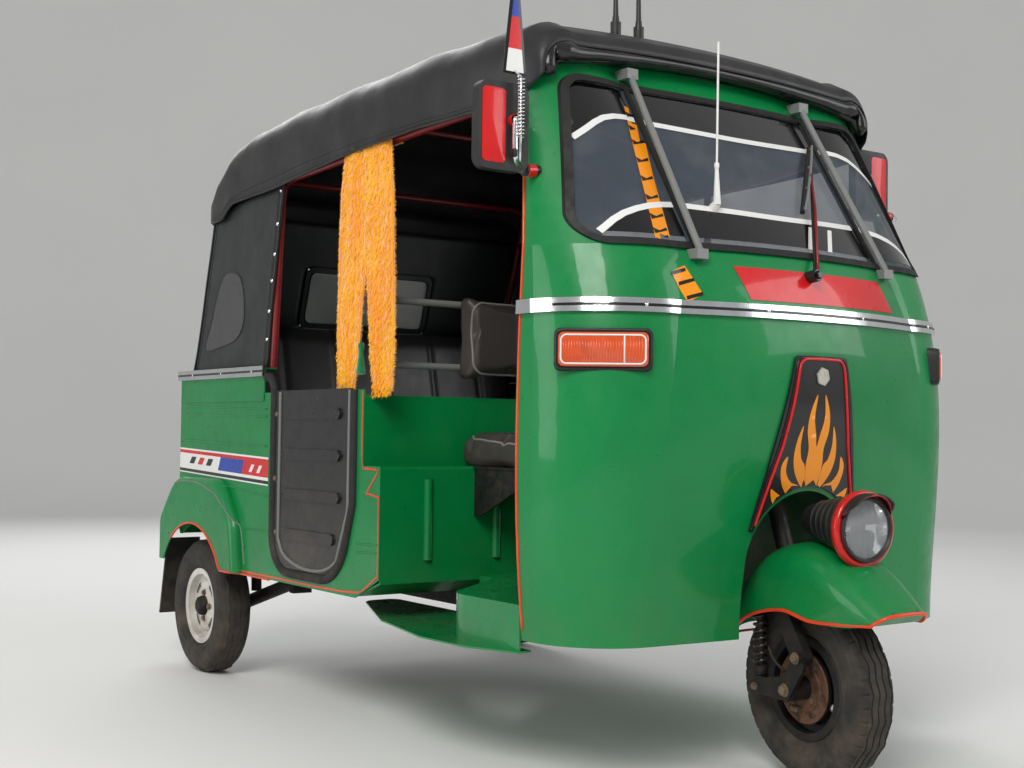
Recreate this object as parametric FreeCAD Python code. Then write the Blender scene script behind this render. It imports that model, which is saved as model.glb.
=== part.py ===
import FreeCAD, Part
import math
import os

os.makedirs("parts", exist_ok=True)

# Three-wheeled auto rickshaw. Millimetres, Z up, the front faces -Y, and the vehicle's own
# right side is -X. The ground is Z = 0 and the origin lies between the three wheels.

# Stance
wheelbase = 2000.0
axle_z = 205.0
rear_track = 1150.0
front_y = -wheelbase / 2.0
rear_y = wheelbase / 2.0

# Steering: the axis leans back and passes through the front axle
rake_deg = 18.0
parked_steer_deg = 6.0

# Tyres and rims
tyre_r = 205.0
tyre_w = 104.0
bead_r = 103.0
flange_r = 116.0
rim_w = 76.0
hub_bore_r = 15.0
stub_r = 14.95

# Sheet and gaps
sheet = 4.0
gap = 0.3

# Cowl
cowl_bottom_z = 312.0
belt_z = 1028.0
waist_z = 1160.0
cowl_top_z = 1630.0
strip_h = 30.0

# Body
body_x = 620.0
body_bottom_z = 332.0
body_top_z = 935.0
body_rear_y = 1170.0
door_top_z = 862.0
door_rear_y = 468.0
door_front_y = 11.0
post_front_y = -42.0
body_nose_y = -130.0
ledge_z = 668.0
bulkhead_bottom_z = 376.0
deck_z = 600.0
saloon_floor_z = 340.0

# Canopy
canopy_t = 6.0
canopy_crown_z = 1716.0


def vec(x, y, z):
    return FreeCAD.Vector(x, y, z)


def box(x0, x1, y0, y1, z0, z1):
    return Part.makeBox(x1 - x0, y1 - y0, z1 - z0, vec(x0, y0, z0))


def cyl(r, p, q):
    a = vec(*p)
    d = vec(*q).sub(a)
    return Part.makeCylinder(r, d.Length, a, d)


def cone(r0, r1, p, q):
    a = vec(*p)
    d = vec(*q).sub(a)
    return Part.makeCone(r0, r1, d.Length, a, d)


def to3(plane, a, b, c):
    if plane == "x":
        return vec(c, a, b)
    if plane == "y":
        return vec(a, c, b)
    return vec(a, b, c)


def prism(plane, corners, low, high):
    """Rounded outline, corners (a, b, radius), pulled along the named axis from low to high."""
    n = len(corners)
    arcs = []
    for i in range(n):
        a, b, r = corners[i]
        pa, pb, _ = corners[i - 1]
        na, nb, _ = corners[(i + 1) % n]
        ul = math.hypot(pa - a, pb - b)
        vl = math.hypot(na - a, nb - b)
        u = ((pa - a) / ul, (pb - b) / ul)
        v = ((na - a) / vl, (nb - b) / vl)
        if r <= 0:
            arcs.append(((a, b), None, (a, b)))
            continue
        half = math.acos(max(-1.0, min(1.0, u[0] * v[0] + u[1] * v[1]))) / 2.0
        t = r / math.tan(half)
        s = (u[0] + v[0], u[1] + v[1])
        sl = math.hypot(*s)
        d = r / math.sin(half)
        mid = (a + s[0] / sl * (d - r), b + s[1] / sl * (d - r))
        arcs.append(((a + u[0] * t, b + u[1] * t), mid, (a + v[0] * t, b + v[1] * t)))
    edges = []
    for i in range(n):
        start, mid, end = arcs[i]
        if mid is not None:
            edges.append(Part.Arc(to3(plane, *start, low), to3(plane, *mid, low),
                                  to3(plane, *end, low)).toShape())
        nxt = arcs[(i + 1) % n][0]
        if math.hypot(nxt[0] - end[0], nxt[1] - end[1]) > 1e-6:
            edges.append(Part.makeLine(to3(plane, *end, low), to3(plane, *nxt, low)))
    face = Part.Face(Part.Wire(edges))
    return face.extrude(to3(plane, 0.0, 0.0, high - low))


def rod(points, r, bends=0.0):
    """Round bar through points, its corners turned with one radius or one each."""
    pts = [vec(*p) for p in points]
    edges = []
    at = pts[0]
    for i in range(1, len(pts) - 1):
        bend = bends[i - 1] if isinstance(bends, list) else bends
        u = pts[i - 1].sub(pts[i])
        v = pts[i + 1].sub(pts[i])
        u.normalize()
        v.normalize()
        half = u.getAngle(v) / 2.0
        t = bend / math.tan(half)
        s = u.add(v)
        s.normalize()
        d = bend / math.sin(half)
        p = pts[i].add(vec(u.x * t, u.y * t, u.z * t))
        m = pts[i].add(vec(s.x * (d - bend), s.y * (d - bend), s.z * (d - bend)))
        q = pts[i].add(vec(v.x * t, v.y * t, v.z * t))
        edges.append(Part.makeLine(at, p))
        edges.append(Part.Arc(p, m, q).toShape())
        at = q
    edges.append(Part.makeLine(at, pts[-1]))
    path = Part.Wire(edges)
    d = pts[1].sub(pts[0])
    ring = Part.Wire([Part.makeCircle(r, pts[0], d)])
    return path.makePipeShell([ring], True, False)


def mirrored(shape):
    return shape.mirror(vec(0, 0, 0), vec(1, 0, 0))


def fuse(shapes):
    out = shapes[0]
    for s in shapes[1:]:
        out = out.fuse(s)
    return out.removeSplitter()


def lie(shape, angle_deg, axis, at):
    s = shape.copy()
    s.rotate(vec(*at), vec(*axis), angle_deg)
    return s


def moved(shape, x, y, z):
    s = shape.copy()
    s.translate(vec(x, y, z))
    return s


def grown(corners, d):
    """The outline moved outwards by d; its corners (a, b, radius) run anticlockwise."""
    n = len(corners)
    lines = []
    for i in range(n):
        a0, b0, _ = corners[i]
        a1, b1, _ = corners[(i + 1) % n]
        length = math.hypot(a1 - a0, b1 - b0)
        na = (b1 - b0) / length
        nb = -(a1 - a0) / length
        lines.append((na, nb, na * a0 + nb * b0 + d))
    out = []
    for i in range(n):
        p = lines[i - 1]
        q = lines[i]
        det = p[0] * q[1] - p[1] * q[0]
        a = (p[2] * q[1] - q[2] * p[1]) / det
        b = (p[0] * q[2] - q[0] * p[2]) / det
        r = corners[i][2]
        if r > 0:
            r = r + d if det > 0 else r - d
        out.append((a, b, r))
    return out


nodes = {}


def keep(name, *shapes):
    solids = []
    for s in shapes:
        solids += s.Solids
    nodes[name] = solids


# Cowl sections: z, half width, rear edge y, side ends at y, corner (x, y), front meets (x, y), nose y
COWL_LOW = [
    (cowl_bottom_z, 598, -712, -745, 545, -872, 430, -926, -940),
    (620, 612, -700, -755, 558, -880, 420, -948, -968),
    (900, 610, -698, -758, 553, -884, 390, -960, -1008),
    (waist_z, 600, -697, -735, 540, -830, 330, -905, -948),
]
COWL_HIGH = [
    (waist_z, 600, -697, -735, 540, -830, 330, -905, -948),
    (cowl_top_z, 532, -600, -606, 514, -613, 300, -617, -628),
]


def cowl_ring(z, w, yr, ys, xm, ym, xc, yc, yf, off, back):
    c = (xc + 0.2 * off, yc - 0.98 * off)
    m = (xm + 0.72 * off, ym - 0.69 * off)
    s = (w + off, ys)
    r = (w + off, yr + back)
    p = [vec(r[0], r[1], z), vec(s[0], s[1], z), vec(m[0], m[1], z), vec(c[0], c[1], z),
         vec(0, yf - off, z)]
    q = [vec(-a.x, a.y, z) for a in p[:4]]
    return Part.Wire([
        Part.makeLine(q[0], p[0]),
        Part.makeLine(p[0], p[1]),
        Part.Arc(p[1], p[2], p[3]).toShape(),
        Part.Arc(p[3], p[4], q[3]).toShape(),
        Part.Arc(q[3], q[2], q[1]).toShape(),
        Part.makeLine(q[1], q[0]),
    ])


def cowl_body(rows, off, back=0.0, grow=0.0):
    """Solid inside the cowl's skin, off outside it; grow lengthens it up and down."""
    last = len(rows) - 1
    wires = []
    for i, row in enumerate(rows):
        z = row[0] - (grow if i == 0 else 0.0) + (grow if i == last else 0.0)
        wires.append(cowl_ring(z, *row[1:], off, back))
    return Part.makeLoft(wires, True, len(rows) == 2)


def cowl_skin(rows, inner, outer):
    """Skin between two offsets of the cowl's surface."""
    return cowl_body(rows, outer).cut(cowl_body(rows, inner, 60.0, 1.0))


# Windscreen opening in the front view
screen_bottom_z = 1160.0
screen_top_z = 1572.0
screen_bottom_w = 566.0
screen_top_w = 478.0
screen_corner_r = 60.0


def screen_prism(inset):
    zb = screen_bottom_z + inset
    zt = screen_top_z - inset
    wb = screen_bottom_w - inset
    wt = screen_top_w - inset
    r = screen_corner_r - inset
    corners = [(-wb, zb, r), (wb, zb, r), (wt, zt, r), (-wt, zt, r)]
    return prism("y", corners, front_y - 100.0, -400.0)


# Wheel arch in the cowl's nose, left for the front fender as it steers
arch_half_w = 165.0
arch_spring_z = 470.0


def arch_prism(grow):
    w = arch_half_w + grow
    low = prism("y", [(-w - 13, cowl_bottom_z - 20, 0), (w + 13, cowl_bottom_z - 20, 0),
                      (w, arch_spring_z, 0), (-w, arch_spring_z, 0)], front_y - 200, -820)
    top = cyl(w, (0, front_y - 200, arch_spring_z), (0, -820, arch_spring_z))
    return low.fuse(top)


cowl_low = cowl_skin(COWL_LOW, -sheet, 0.0).cut(arch_prism(0))
cowl_high = cowl_skin(COWL_HIGH, -sheet, 0.0).cut(screen_prism(0))
keep("cowl", cowl_low)
keep("windscreen_frame", cowl_high)

outside = cowl_body(COWL_LOW, gap, 0.0, 1.0)
outside_high = cowl_body(COWL_HIGH, gap, 0.0, 1.0)

# Windscreen: seal, three panes and the two outer bars over their joins
seal_w = 16.0
seal_out = 7.0
glass_t = 5.0
pane_join_x = 291.0
pane_join_w = 12.0
seal = cowl_skin(COWL_HIGH, -10.0, seal_out).common(screen_prism(gap).cut(screen_prism(seal_w)))
glass_all = cowl_skin(COWL_HIGH, -glass_t, 0.0).common(screen_prism(seal_w + gap))
join_r = box(-pane_join_x - pane_join_w / 2, -pane_join_x + pane_join_w / 2,
             front_y - 100, -500, screen_bottom_z, screen_top_z)
join_skin = cowl_skin(COWL_HIGH, -10.0, seal_out).common(screen_prism(seal_w - 0.5))
posts = [join_skin.common(join_r), join_skin.common(mirrored(join_r))]
seal = fuse([seal] + posts)
wide_r = box(-pane_join_x - pane_join_w / 2 - gap, -pane_join_x + pane_join_w / 2 + gap,
             front_y - 100, -500, screen_bottom_z, screen_top_z)
glass = glass_all.cut(wide_r).cut(mirrored(wide_r))
keep("windscreen_seal", seal)
keep("windscreen_glass", glass)

bar_r = 8.0
bar_foot = (-299.0, -938.0, 1152.0)
bar_head = (-282.0, -676.0, 1586.0)
bar = cyl(bar_r, bar_foot, bar_head)
seal_body = cowl_body(COWL_HIGH, seal_out + gap, 0.0, 1.0)
foot_pad = box(bar_foot[0] - 16, bar_foot[0] + 16, bar_foot[1] - 8, bar_foot[1] + 60,
               bar_foot[2] - 16, bar_foot[2] + 6)
head_pad = box(bar_head[0] - 16, bar_head[0] + 16, bar_head[1] - 8, bar_head[1] + 40,
               bar_head[2] - 6, bar_head[2] + 18)
bar_one = fuse([bar, foot_pad, head_pad]).cut(outside).cut(outside_high)
bar_one = bar_one.cut(seal_body.common(screen_prism(-1.0)))
keep("windscreen_bars", bar_one, mirrored(bar_one))

# Bright strips at the belt: round the cowl, along both sides and across the tail
strip_out = 9.0
strip_slab = box(-700, 700, -1100, -690, belt_z - strip_h / 2, belt_z + strip_h / 2)
front_strip = cowl_skin(COWL_LOW, gap, strip_out).common(strip_slab)
strip_z = body_top_z - strip_h + 5.0
strip_rear = body_rear_y + strip_out
side_strip = box(-body_x - strip_out, -body_x, 545, strip_rear, strip_z, strip_z + strip_h)
tail_strip = box(-body_x, body_x, body_rear_y, strip_rear, strip_z, strip_z + strip_h)
keep("belt_strips", front_strip, fuse([side_strip, mirrored(side_strip), tail_strip]))

# Apron plate, with the arch cut out of its foot
plate_top_z = 935.0
plate_bottom_z = 545.0
plate_top_w = 80.0
plate_bottom_w = 168.0
plate_form = prism("y", [(-plate_bottom_w, plate_bottom_z, 6), (plate_bottom_w, plate_bottom_z, 6),
                         (plate_top_w, plate_top_z, 14), (-plate_top_w, plate_top_z, 14)],
                   front_y - 100, -850)
plate = cowl_skin(COWL_LOW, gap, 6.0).common(plate_form).cut(arch_prism(10.0))
keep("apron_plate", plate)

# Turn lamps on the cowl's corners
lamp_at = (-517.0, -880.0, 932.0)
lamp_turn = -39.3
lamp_l = 206.0
lamp_h = 90.0
lamp_out = 24.0
lamp_lip = 9.0


def corner_lamp(l, h, back, out, r):
    b = prism("y", [(-l / 2, -h / 2, r), (l / 2, -h / 2, r), (l / 2, h / 2, r), (-l / 2, h / 2, r)],
              -out, back)
    b = lie(b, lamp_turn, (0, 0, 1), (0, 0, 0))
    return moved(b, *lamp_at)


housing = corner_lamp(lamp_l, lamp_h, 70, lamp_out, 12).cut(outside)
lens_hole = corner_lamp(lamp_l - 2 * lamp_lip, lamp_h - 2 * lamp_lip, -16, lamp_out + 1, 6)
lens = corner_lamp(lamp_l - 2 * lamp_lip - 1, lamp_h - 2 * lamp_lip - 1, -16 - gap, lamp_out + 4, 6)
lens = lens.cut(outside)
housing = housing.cut(lens_hole)
keep("indicator_housings", housing, mirrored(housing))
keep("indicator_lenses", lens, mirrored(lens))

# Wiper
wiper_foot = (0.0, -990.0, 1118.0)
wiper_head = (250.0, -738.0, 1471.0)
wiper_boss = cyl(14, (0, -945, 1112), (0, -998, 1118)).cut(outside)
wiper_arm = rod([wiper_foot, wiper_head], 4)
blade = cyl(6, (80, -874, 1282), (256, -728, 1478))
wiper = fuse([wiper_boss, wiper_arm, blade]).cut(cowl_body(COWL_HIGH, gap, 0.0, 1.0))
keep("wiper", wiper)

# Driver's floor: a raised box with a low step each side
floor_top_z = 385.0
step_z = 285.0
floor_w = 592.0
floor_plan = [(-floor_w, -694, 0), (-floor_w, -420, 120), (-320, -200, 60), (-320, body_nose_y, 0),
              (320, body_nose_y, 0), (320, -200, 60), (floor_w, -420, 120), (floor_w, -694, 0)]
floor_in = [(a - math.copysign(sheet, a), b - (0 if b > -200 or b < -600 else sheet), r)
            for a, b, r in floor_plan]
floor = prism("z", floor_plan, step_z, floor_top_z)
floor = floor.cut(prism("z", floor_in, step_z - 1, floor_top_z - sheet))
step_plan = [(-596, -694, 0), (-648, -560, 60), (-655, -380, 90), (-590, -90, 200), (-430, 280, 60),
             (-330, 280, 30), (-330, -100, 60), (-540, -400, 60), (-560, -694, 0)]
step = prism("z", step_plan, step_z - sheet, step_z)
floor = fuse([floor, step, mirrored(step)])

# Well round the front wheel inside the cowl, with the steering head on its roof
well_r = 236.0
well_y = -965.0
well_t = 3.0
well_bottom_z = 318.0
well_top_z = arch_spring_z + arch_half_w + 7.0
column_r = 20.0
head_bore_r = column_r + 0.06
head_r = 30.0
rake = math.radians(rake_deg)


def on_axis(z):
    """Point of the steering axis at height z."""
    return (0.0, front_y + (z - axle_z) * math.tan(rake), z)


inside = cowl_body(COWL_LOW, -sheet - gap, 60.0, 1.0)
well = cyl(well_r, (0, well_y, well_bottom_z), (0, well_y, well_top_z))
well = well.cut(cyl(well_r - well_t, (0, well_y, well_bottom_z - 1), (0, well_y, well_top_z - well_t)))
well = well.common(inside)
head_tube = cyl(head_r, on_axis(well_top_z - 6), on_axis(900))
well = well.fuse(head_tube).cut(cyl(head_bore_r, on_axis(500), on_axis(1000))).removeSplitter()
keep("wheel_well", well)

floor_front = box(-600, 600, -960, -694, floor_top_z - sheet, floor_top_z).common(inside)
floor_front = floor_front.cut(cyl(well_r + gap, (0, well_y, 300), (0, well_y, 420)))
floor = fuse([floor, floor_front])
keep("floor_pan", floor)

# Bulkhead behind the driver, its ledge and its ribs
upper_y = post_front_y
bulk_w = body_x - sheet - gap
bulk_profile = [
    (body_nose_y, bulkhead_bottom_z, 0), (body_nose_y, ledge_z, 8), (upper_y, ledge_z, 0),
    (upper_y, door_top_z - 14, 0), (upper_y + sheet, door_top_z - 14, 0),
    (upper_y + sheet, ledge_z - sheet, 0), (body_nose_y + sheet, ledge_z - sheet, 4),
    (body_nose_y + sheet, bulkhead_bottom_z + 4, 0), (-14, saloon_floor_z, 0),
    (-14, saloon_floor_z - sheet, 0)]
bulk = prism("x", bulk_profile, -bulk_w, bulk_w)
rib_r = 12.0
ribs = []
for x in (-480, -270, 270, 480):
    rib = cyl(rib_r, (x, body_nose_y + 1, 432), (x, body_nose_y + 1, 636))
    ribs.append(rib.common(box(-600, 600, body_nose_y - 20, body_nose_y + 1, 400, 660)))
bulkhead = fuse([bulk] + ribs)
keep("bulkhead", bulkhead)

# Sides of the body, cut by the doorway and the wheel arch
bead_tube_r = 13.0
door_low_z = 362.0
door_path = [(door_rear_y + 6, door_top_z + 300, 0), (door_front_y - 7, door_top_z + 300, 0),
             (door_front_y - 7, 570, 60), (75, door_low_z, 150), (door_rear_y + 6, door_low_z, 105)]
wheel_arch_r = 258.0
side_form = [(body_rear_y, 420, 30), (body_rear_y, body_top_z, 0), (548, body_top_z, 0),
             (548, door_top_z, 0), (post_front_y, door_top_z, 0), (post_front_y, ledge_z, 0),
             (body_nose_y, ledge_z, 0), (body_nose_y, 387, 0), (-9, body_bottom_z, 0),
             (700, body_bottom_z, 0), (760, 420, 0)]
door_hole = grown(door_path, bead_tube_r + gap)
side = prism("x", side_form, -body_x, -body_x + sheet)
side = side.cut(prism("x", door_hole, -body_x - 10, -body_x + 20))
side = side.cut(cyl(wheel_arch_r, (-700, rear_y, axle_z), (-500, rear_y, axle_z)))
swage = prism("x", [(545, 838, 6), (body_rear_y - 6, 838, 6), (body_rear_y - 6, 862, 6), (545, 862, 6)],
              -body_x - 3, -body_x)
cap = box(-body_x + sheet, -578, 552, body_rear_y - sheet - gap, body_top_z - sheet, body_top_z)
side = fuse([side, swage, cap])
keep("body_side_right", side)
keep("body_side_left", mirrored(side))

# Rounded rear fenders over the wheels
fender_x = 650.0
fender_form = [(678, 335, 0), (700, 480, 90), (800, 606, 120), (1150, 606, 140), (1276, 470, 60),
               (1276, 335, 0)]
fender_round = 24.0


def rounded_face(shape, x, r, low_z):
    """The prism with the edges of its face at x rounded, all but the flat one at its foot."""
    rims = []
    for e in shape.Edges:
        on_face = all(abs(v.Point.x - x) < 1e-6 for v in e.Vertexes)
        foot = e.BoundBox.ZMax < low_z + 2.0
        if on_face and not foot:
            rims.append(e)
    return shape.makeFillet(r, rims)


fender_out = rounded_face(prism("x", fender_form, -fender_x, -body_x - gap), -fender_x, fender_round, 335)
fender_in = prism("x", [(682, 300, 0), (704, 480, 86), (803, 602, 116), (1147, 602, 136), (1272, 469, 56),
                        (1272, 300, 0)], -fender_x + sheet, -body_x + 10)
fender_in = rounded_face(fender_in, -fender_x + sheet, fender_round - sheet, 300)
fender = fender_out.cut(fender_in)
fender = fender.cut(cyl(wheel_arch_r, (-700, rear_y, axle_z), (-500, rear_y, axle_z)))
fender = max(fender.Solids, key=lambda q: q.Volume)
keep("rear_fenders", fender, mirrored(fender))

# Black panel that closes the right doorway, ribbed, and the rubber tube round both doorways
panel_form = grown(door_path, -bead_tube_r - gap)
panel = prism("x", panel_form, -body_x - sheet, -body_x)
panel = panel.cut(box(-700, -500, -100, 600, door_top_z + 4, 1300))
rib_table = [(800, 72, 402), (690, 72, 402), (580, 72, 402), (470, 100, 390)]
panel_ribs = []
for z, y0, y1 in rib_table:
    panel_ribs.append(prism("x", [(y0, z - 15, 14), (y1, z - 15, 14), (y1, z + 15, 14), (y0, z + 15, 14)],
                            -body_x - sheet - 6, -body_x - sheet))
panel = fuse([panel] + panel_ribs)
keep("door_panel_right", panel)

tube_path = [(-body_x, 530, 906), (-body_x, 498, 906), (-body_x, 474, 874), (-body_x, 474, door_low_z),
             (-body_x, 75, door_low_z), (-body_x, 4, 570), (-body_x, 4, door_top_z)]
bead = rod(tube_path, bead_tube_r, [18, 18, 105, 150, 60])
keep("doorway_beading", bead, mirrored(bead))

# Deck: passenger floor, seat box and the walls inside the wheels
deck_w = body_x - sheet - gap
wall_x = 500.0
deck_rear = body_rear_y - sheet - gap
seat_front_y = 520.0
deck = fuse([
    box(-deck_w, deck_w, -14 + gap, seat_front_y, saloon_floor_z - sheet, saloon_floor_z),
    box(-deck_w, deck_w, seat_front_y - sheet, seat_front_y, saloon_floor_z, deck_z),
    box(-deck_w, deck_w, seat_front_y - sheet, deck_rear, deck_z, deck_z + sheet),
    box(-wall_x, -wall_x + sheet, seat_front_y, deck_rear, saloon_floor_z, deck_z),
    box(wall_x - sheet, wall_x, seat_front_y, deck_rear, saloon_floor_z, deck_z)])
keep("rear_deck", deck)

# Tail: panel with a hatch to the engine
tail_w = body_x - sheet - gap
hatch_w = 360.0
hatch_low_z = 452.0
hatch_top_z = 742.0
hatch_gap = 6.0
hinge_z = 752.0
hinge_y = body_rear_y + 9.0
pin_r = 4.0
tail = box(-tail_w, tail_w, body_rear_y - sheet, body_rear_y, 420, body_top_z)
tail = tail.cut(box(-hatch_w, hatch_w, body_rear_y - 20, body_rear_y + 20, hatch_low_z, hatch_top_z))
tail = fuse([tail, box(-tail_w + 45, tail_w - 45, 1122, body_rear_y - sheet, body_top_z - sheet, body_top_z)])
tail = tail.cut(box(-deck_w, -578 + gap, 1100, body_rear_y - sheet, body_top_z - 10, body_top_z + 1))
tail = tail.cut(box(578 - gap, deck_w, 1100, body_rear_y - sheet, body_top_z - 10, body_top_z + 1))
for x in (-250, 250):
    lug = prism("x", [(body_rear_y, hinge_z - 9, 0), (hinge_y, hinge_z - 9, 0), (hinge_y + 9, hinge_z, 6),
                      (hinge_y, hinge_z + 9, 0), (body_rear_y, hinge_z + 9, 0)], x - 10, x + 10)
    tail = tail.fuse(lug)
tail = tail.cut(cyl(pin_r + 0.06, (-300, hinge_y, hinge_z), (300, hinge_y, hinge_z))).removeSplitter()
keep("rear_panel", tail)

hatch = box(-hatch_w + hatch_gap, hatch_w - hatch_gap, body_rear_y - sheet, body_rear_y,
            hatch_low_z + hatch_gap, hatch_top_z - hatch_gap)
louvres = []
for z in (520, 560, 600, 640):
    lv = prism("x", [(body_rear_y, z - 8, 0), (body_rear_y + 9, z - 8, 0), (body_rear_y, z + 12, 0)],
               -240, 240)
    louvres.append(lv)
pin = cyl(pin_r, (-268, hinge_y, hinge_z), (268, hinge_y, hinge_z))
straps = []
for x in (-225, 225):
    straps.append(box(x - 14, x + 14, body_rear_y, body_rear_y + 3, hatch_top_z - 60, hatch_top_z - hatch_gap))
    straps.append(prism("x", [(body_rear_y, hatch_top_z - 30, 0), (body_rear_y + 3, hatch_top_z - 30, 0),
                              (hinge_y + 3, hinge_z, 0), (hinge_y, hinge_z + 3, 0),
                              (body_rear_y + 1.5, hatch_top_z + 4, 0)], x - 14, x + 14))
hatch = fuse([hatch, pin] + louvres + straps)
keep("engine_hatch", hatch)

tail_lamp = prism("y", [(-596, 585, 10), (-430, 585, 10), (-430, 665, 10), (-596, 665, 10)],
                  body_rear_y, body_rear_y + 30)
keep("tail_lamps", tail_lamp, mirrored(tail_lamp))

flap_top_y = 1272 - gap
flap_bend_z = 329.0
flap = prism("x", [(flap_top_y - 9, 398, 0), (flap_top_y - 9, flap_bend_z, 20), (1301, 150, 0), (1311, 150, 0),
                   (flap_top_y, flap_bend_z, 20), (flap_top_y, 398, 0)], -fender_x + fender_round + gap, -508)
keep("mudflaps", flap, mirrored(flap))

# Canopy sections: y, half width, side's low edge z, shoulder z, shoulder middle (x, z), crown start (x, z), crown z
CANOPY = [
    (-676, 528, 1560, 1584, 514, 1615, 440, 1632, 1648),
    (-660, 540, 1540, 1592, 524, 1636, 436, 1664, 1681),
    (-606, 556, 1500, 1600, 538, 1655, 430, 1694, 1711),
    (-460, 582, 1494, 1600, 561, 1657, 452, 1694, 1715),
    (-250, 600, 1488, 1600, 578, 1657, 470, 1692, canopy_crown_z),
    (400, 600, 1468, 1592, 578, 1650, 470, 1687, canopy_crown_z - 2),
    (760, 600, 1450, 1574, 577, 1632, 466, 1669, 1700),
    (880, 600, 1434, 1551, 574, 1607, 461, 1641, 1668),
    (960, 598, 1420, 1512, 570, 1558, 456, 1584, 1604),
    (1012, 595, 1405, 1460, 566, 1490, 450, 1504, 1514),
]


def canopy_ring(y, w, sz, za, xm, zm, xb, zb, zt, inset, drop):
    p = [vec(w - inset, y, sz - drop), vec(w - inset, y, za), vec(xm - 0.8 * inset, y, zm - 0.6 * inset),
         vec(xb, y, zb - inset), vec(0, y, zt - inset)]
    q = [vec(-a.x, a.y, a.z) for a in p[:4]]
    return Part.Wire([
        Part.makeLine(q[0], p[0]), Part.makeLine(p[0], p[1]),
        Part.Arc(p[1], p[2], p[3]).toShape(), Part.Arc(p[3], p[4], q[3]).toShape(),
        Part.Arc(q[3], q[2], q[1]).toShape(), Part.makeLine(q[1], q[0])])


hood_out = Part.makeLoft([canopy_ring(*row, 0, 0) for row in CANOPY], True, True)
inner_rows = [(-612,) + CANOPY[2][1:]] + CANOPY[3:-1] + [(CANOPY[-1][0] - canopy_t,) + CANOPY[-1][1:]]
hood_in = Part.makeLoft([canopy_ring(*row, canopy_t, 60) for row in inner_rows], True, True)
brow = Part.Wire([
    Part.makeLine(vec(-500, -700, 1500), vec(500, -700, 1500)),
    Part.makeLine(vec(500, -700, 1500), vec(490, -700, 1590)),
    Part.Arc(vec(490, -700, 1590), vec(0, -700, 1632), vec(-490, -700, 1590)).toShape(),
    Part.makeLine(vec(-490, -700, 1590), vec(-500, -700, 1500))])
brow = Part.Face(brow).extrude(vec(0, 110, 0))
canopy = hood_out.cut(hood_in).cut(brow).cut(cowl_body(COWL_HIGH, gap, 30.0, 1.0))
canopy = max(canopy.Solids, key=lambda s: s.Volume)
keep("canopy", canopy)

# Curtains at the sides and the back
curtain_x = 586.5
curtain_t = 3.0
curtain_form = [(598, body_top_z + gap, 0), (1150, body_top_z + gap, 0), (996, 1428, 0), (505, 1486, 0)]
curtain = prism("x", curtain_form, -curtain_x, -curtain_x + curtain_t)
keep("side_curtains", curtain, mirrored(curtain))

back_low = (1152.0, body_top_z + gap)
back_top = (989.0, 1440.0)
back_w = curtain_x - curtain_t - gap
window_w = 240.0
window_low_z = 1105.0
window_top_z = 1292.0
back = prism("x", [(back_low[0], back_low[1], 0), (back_low[0] + 3, back_low[1], 0),
                   (back_top[0] + 3, back_top[1], 0), (back_top[0], back_top[1], 0)], -back_w, back_w)
hole = prism("y", [(-window_w, window_low_z, 24), (window_w, window_low_z, 24),
                   (window_w, window_top_z, 24), (-window_w, window_top_z, 24)], 900, 1250)
pane_hole = prism("y", [(-window_w + gap, window_low_z + gap, 24 - gap), (window_w - gap, window_low_z + gap, 24 - gap),
                        (window_w - gap, window_top_z - gap, 24 - gap),
                        (-window_w + gap, window_top_z - gap, 24 - gap)], 900, 1250)
keep("back_window", back.common(pane_hole))
keep("back_curtain", back.cut(hole))

# Tubes that carry the canopy
tube_r = 11.0
hoop_r = 10.0
rail_x = 572.0
rail_z = 1500.0
post_y = -28.0
pieces = []
rail_front = (-rail_x + 40, -585, rail_z + 20)
rail_mid = (-rail_x, -250, rail_z)
rail_back = (-rail_x, 545, rail_z - 24)
pillar_foot = (-rail_x, 590, body_top_z + 1.3)
side_rail = rod([rail_front, rail_mid, rail_back, pillar_foot], tube_r, 45)
post = cyl(tube_r, (-rail_x + 10, post_y, door_top_z - 13.7), (-rail_x + 10, post_y, rail_z - 8))
pieces += [side_rail, mirrored(side_rail), post, mirrored(post)]
# Hoops: y, foot (x, z) on the side rail, shoulder (x, z), crown z and shoulder bend
HOOPS = [
    (-560, 536, 1510, 528, 1620, 1674, 70),
    (-230, rail_x, rail_z - 6, rail_x, 1625, 1681, 80),
    (160, rail_x, rail_z - 17, rail_x, 1625, 1681, 80),
    (490, rail_x, rail_z - 27, rail_x, 1619, 1675, 80),
]
side_rails = fuse([side_rail, mirrored(side_rail)])
hoops = []
for y, foot_x, foot_z, sx, sz, crown, bend in HOOPS:
    hoop = rod([(-foot_x, y, foot_z), (-sx, y, sz), (-300, y, crown), (300, y, crown),
                (sx, y, sz), (foot_x, y, foot_z)], hoop_r, [bend, 90, 90, bend])
    hoops.append(max(hoop.cut(side_rails).Solids, key=lambda q: q.Volume))
keep("canopy_hoops", *hoops)
rear_bow = rod([(-567, 1128, body_top_z + 3.2), (-567, 972, 1420), (-567, 920, 1548),
                (567, 920, 1548), (567, 972, 1420), (567, 1128, body_top_z + 3.2)], tube_r, [60, 60, 60, 60])
rear_tie = cyl(tube_r, (-rail_x, 520, rail_z - 26), (-567, 968, 1428))
pieces += [rear_bow, rear_tie, mirrored(rear_tie)]
frame_tubes = fuse(pieces)
keep("canopy_frame", frame_tubes)

# Rails across behind the driver
post_hole = cyl(tube_r + gap, (-rail_x + 10, post_y, 700), (-rail_x + 10, post_y, 1600))
rails = []
for z in (1095, 928):
    rails.append(cyl(9, (-rail_x + 10, post_y, z), (rail_x - 10, post_y, z)).cut(post_hole)
                 .cut(mirrored(post_hole)))
keep("cabin_rails", *rails)

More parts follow.
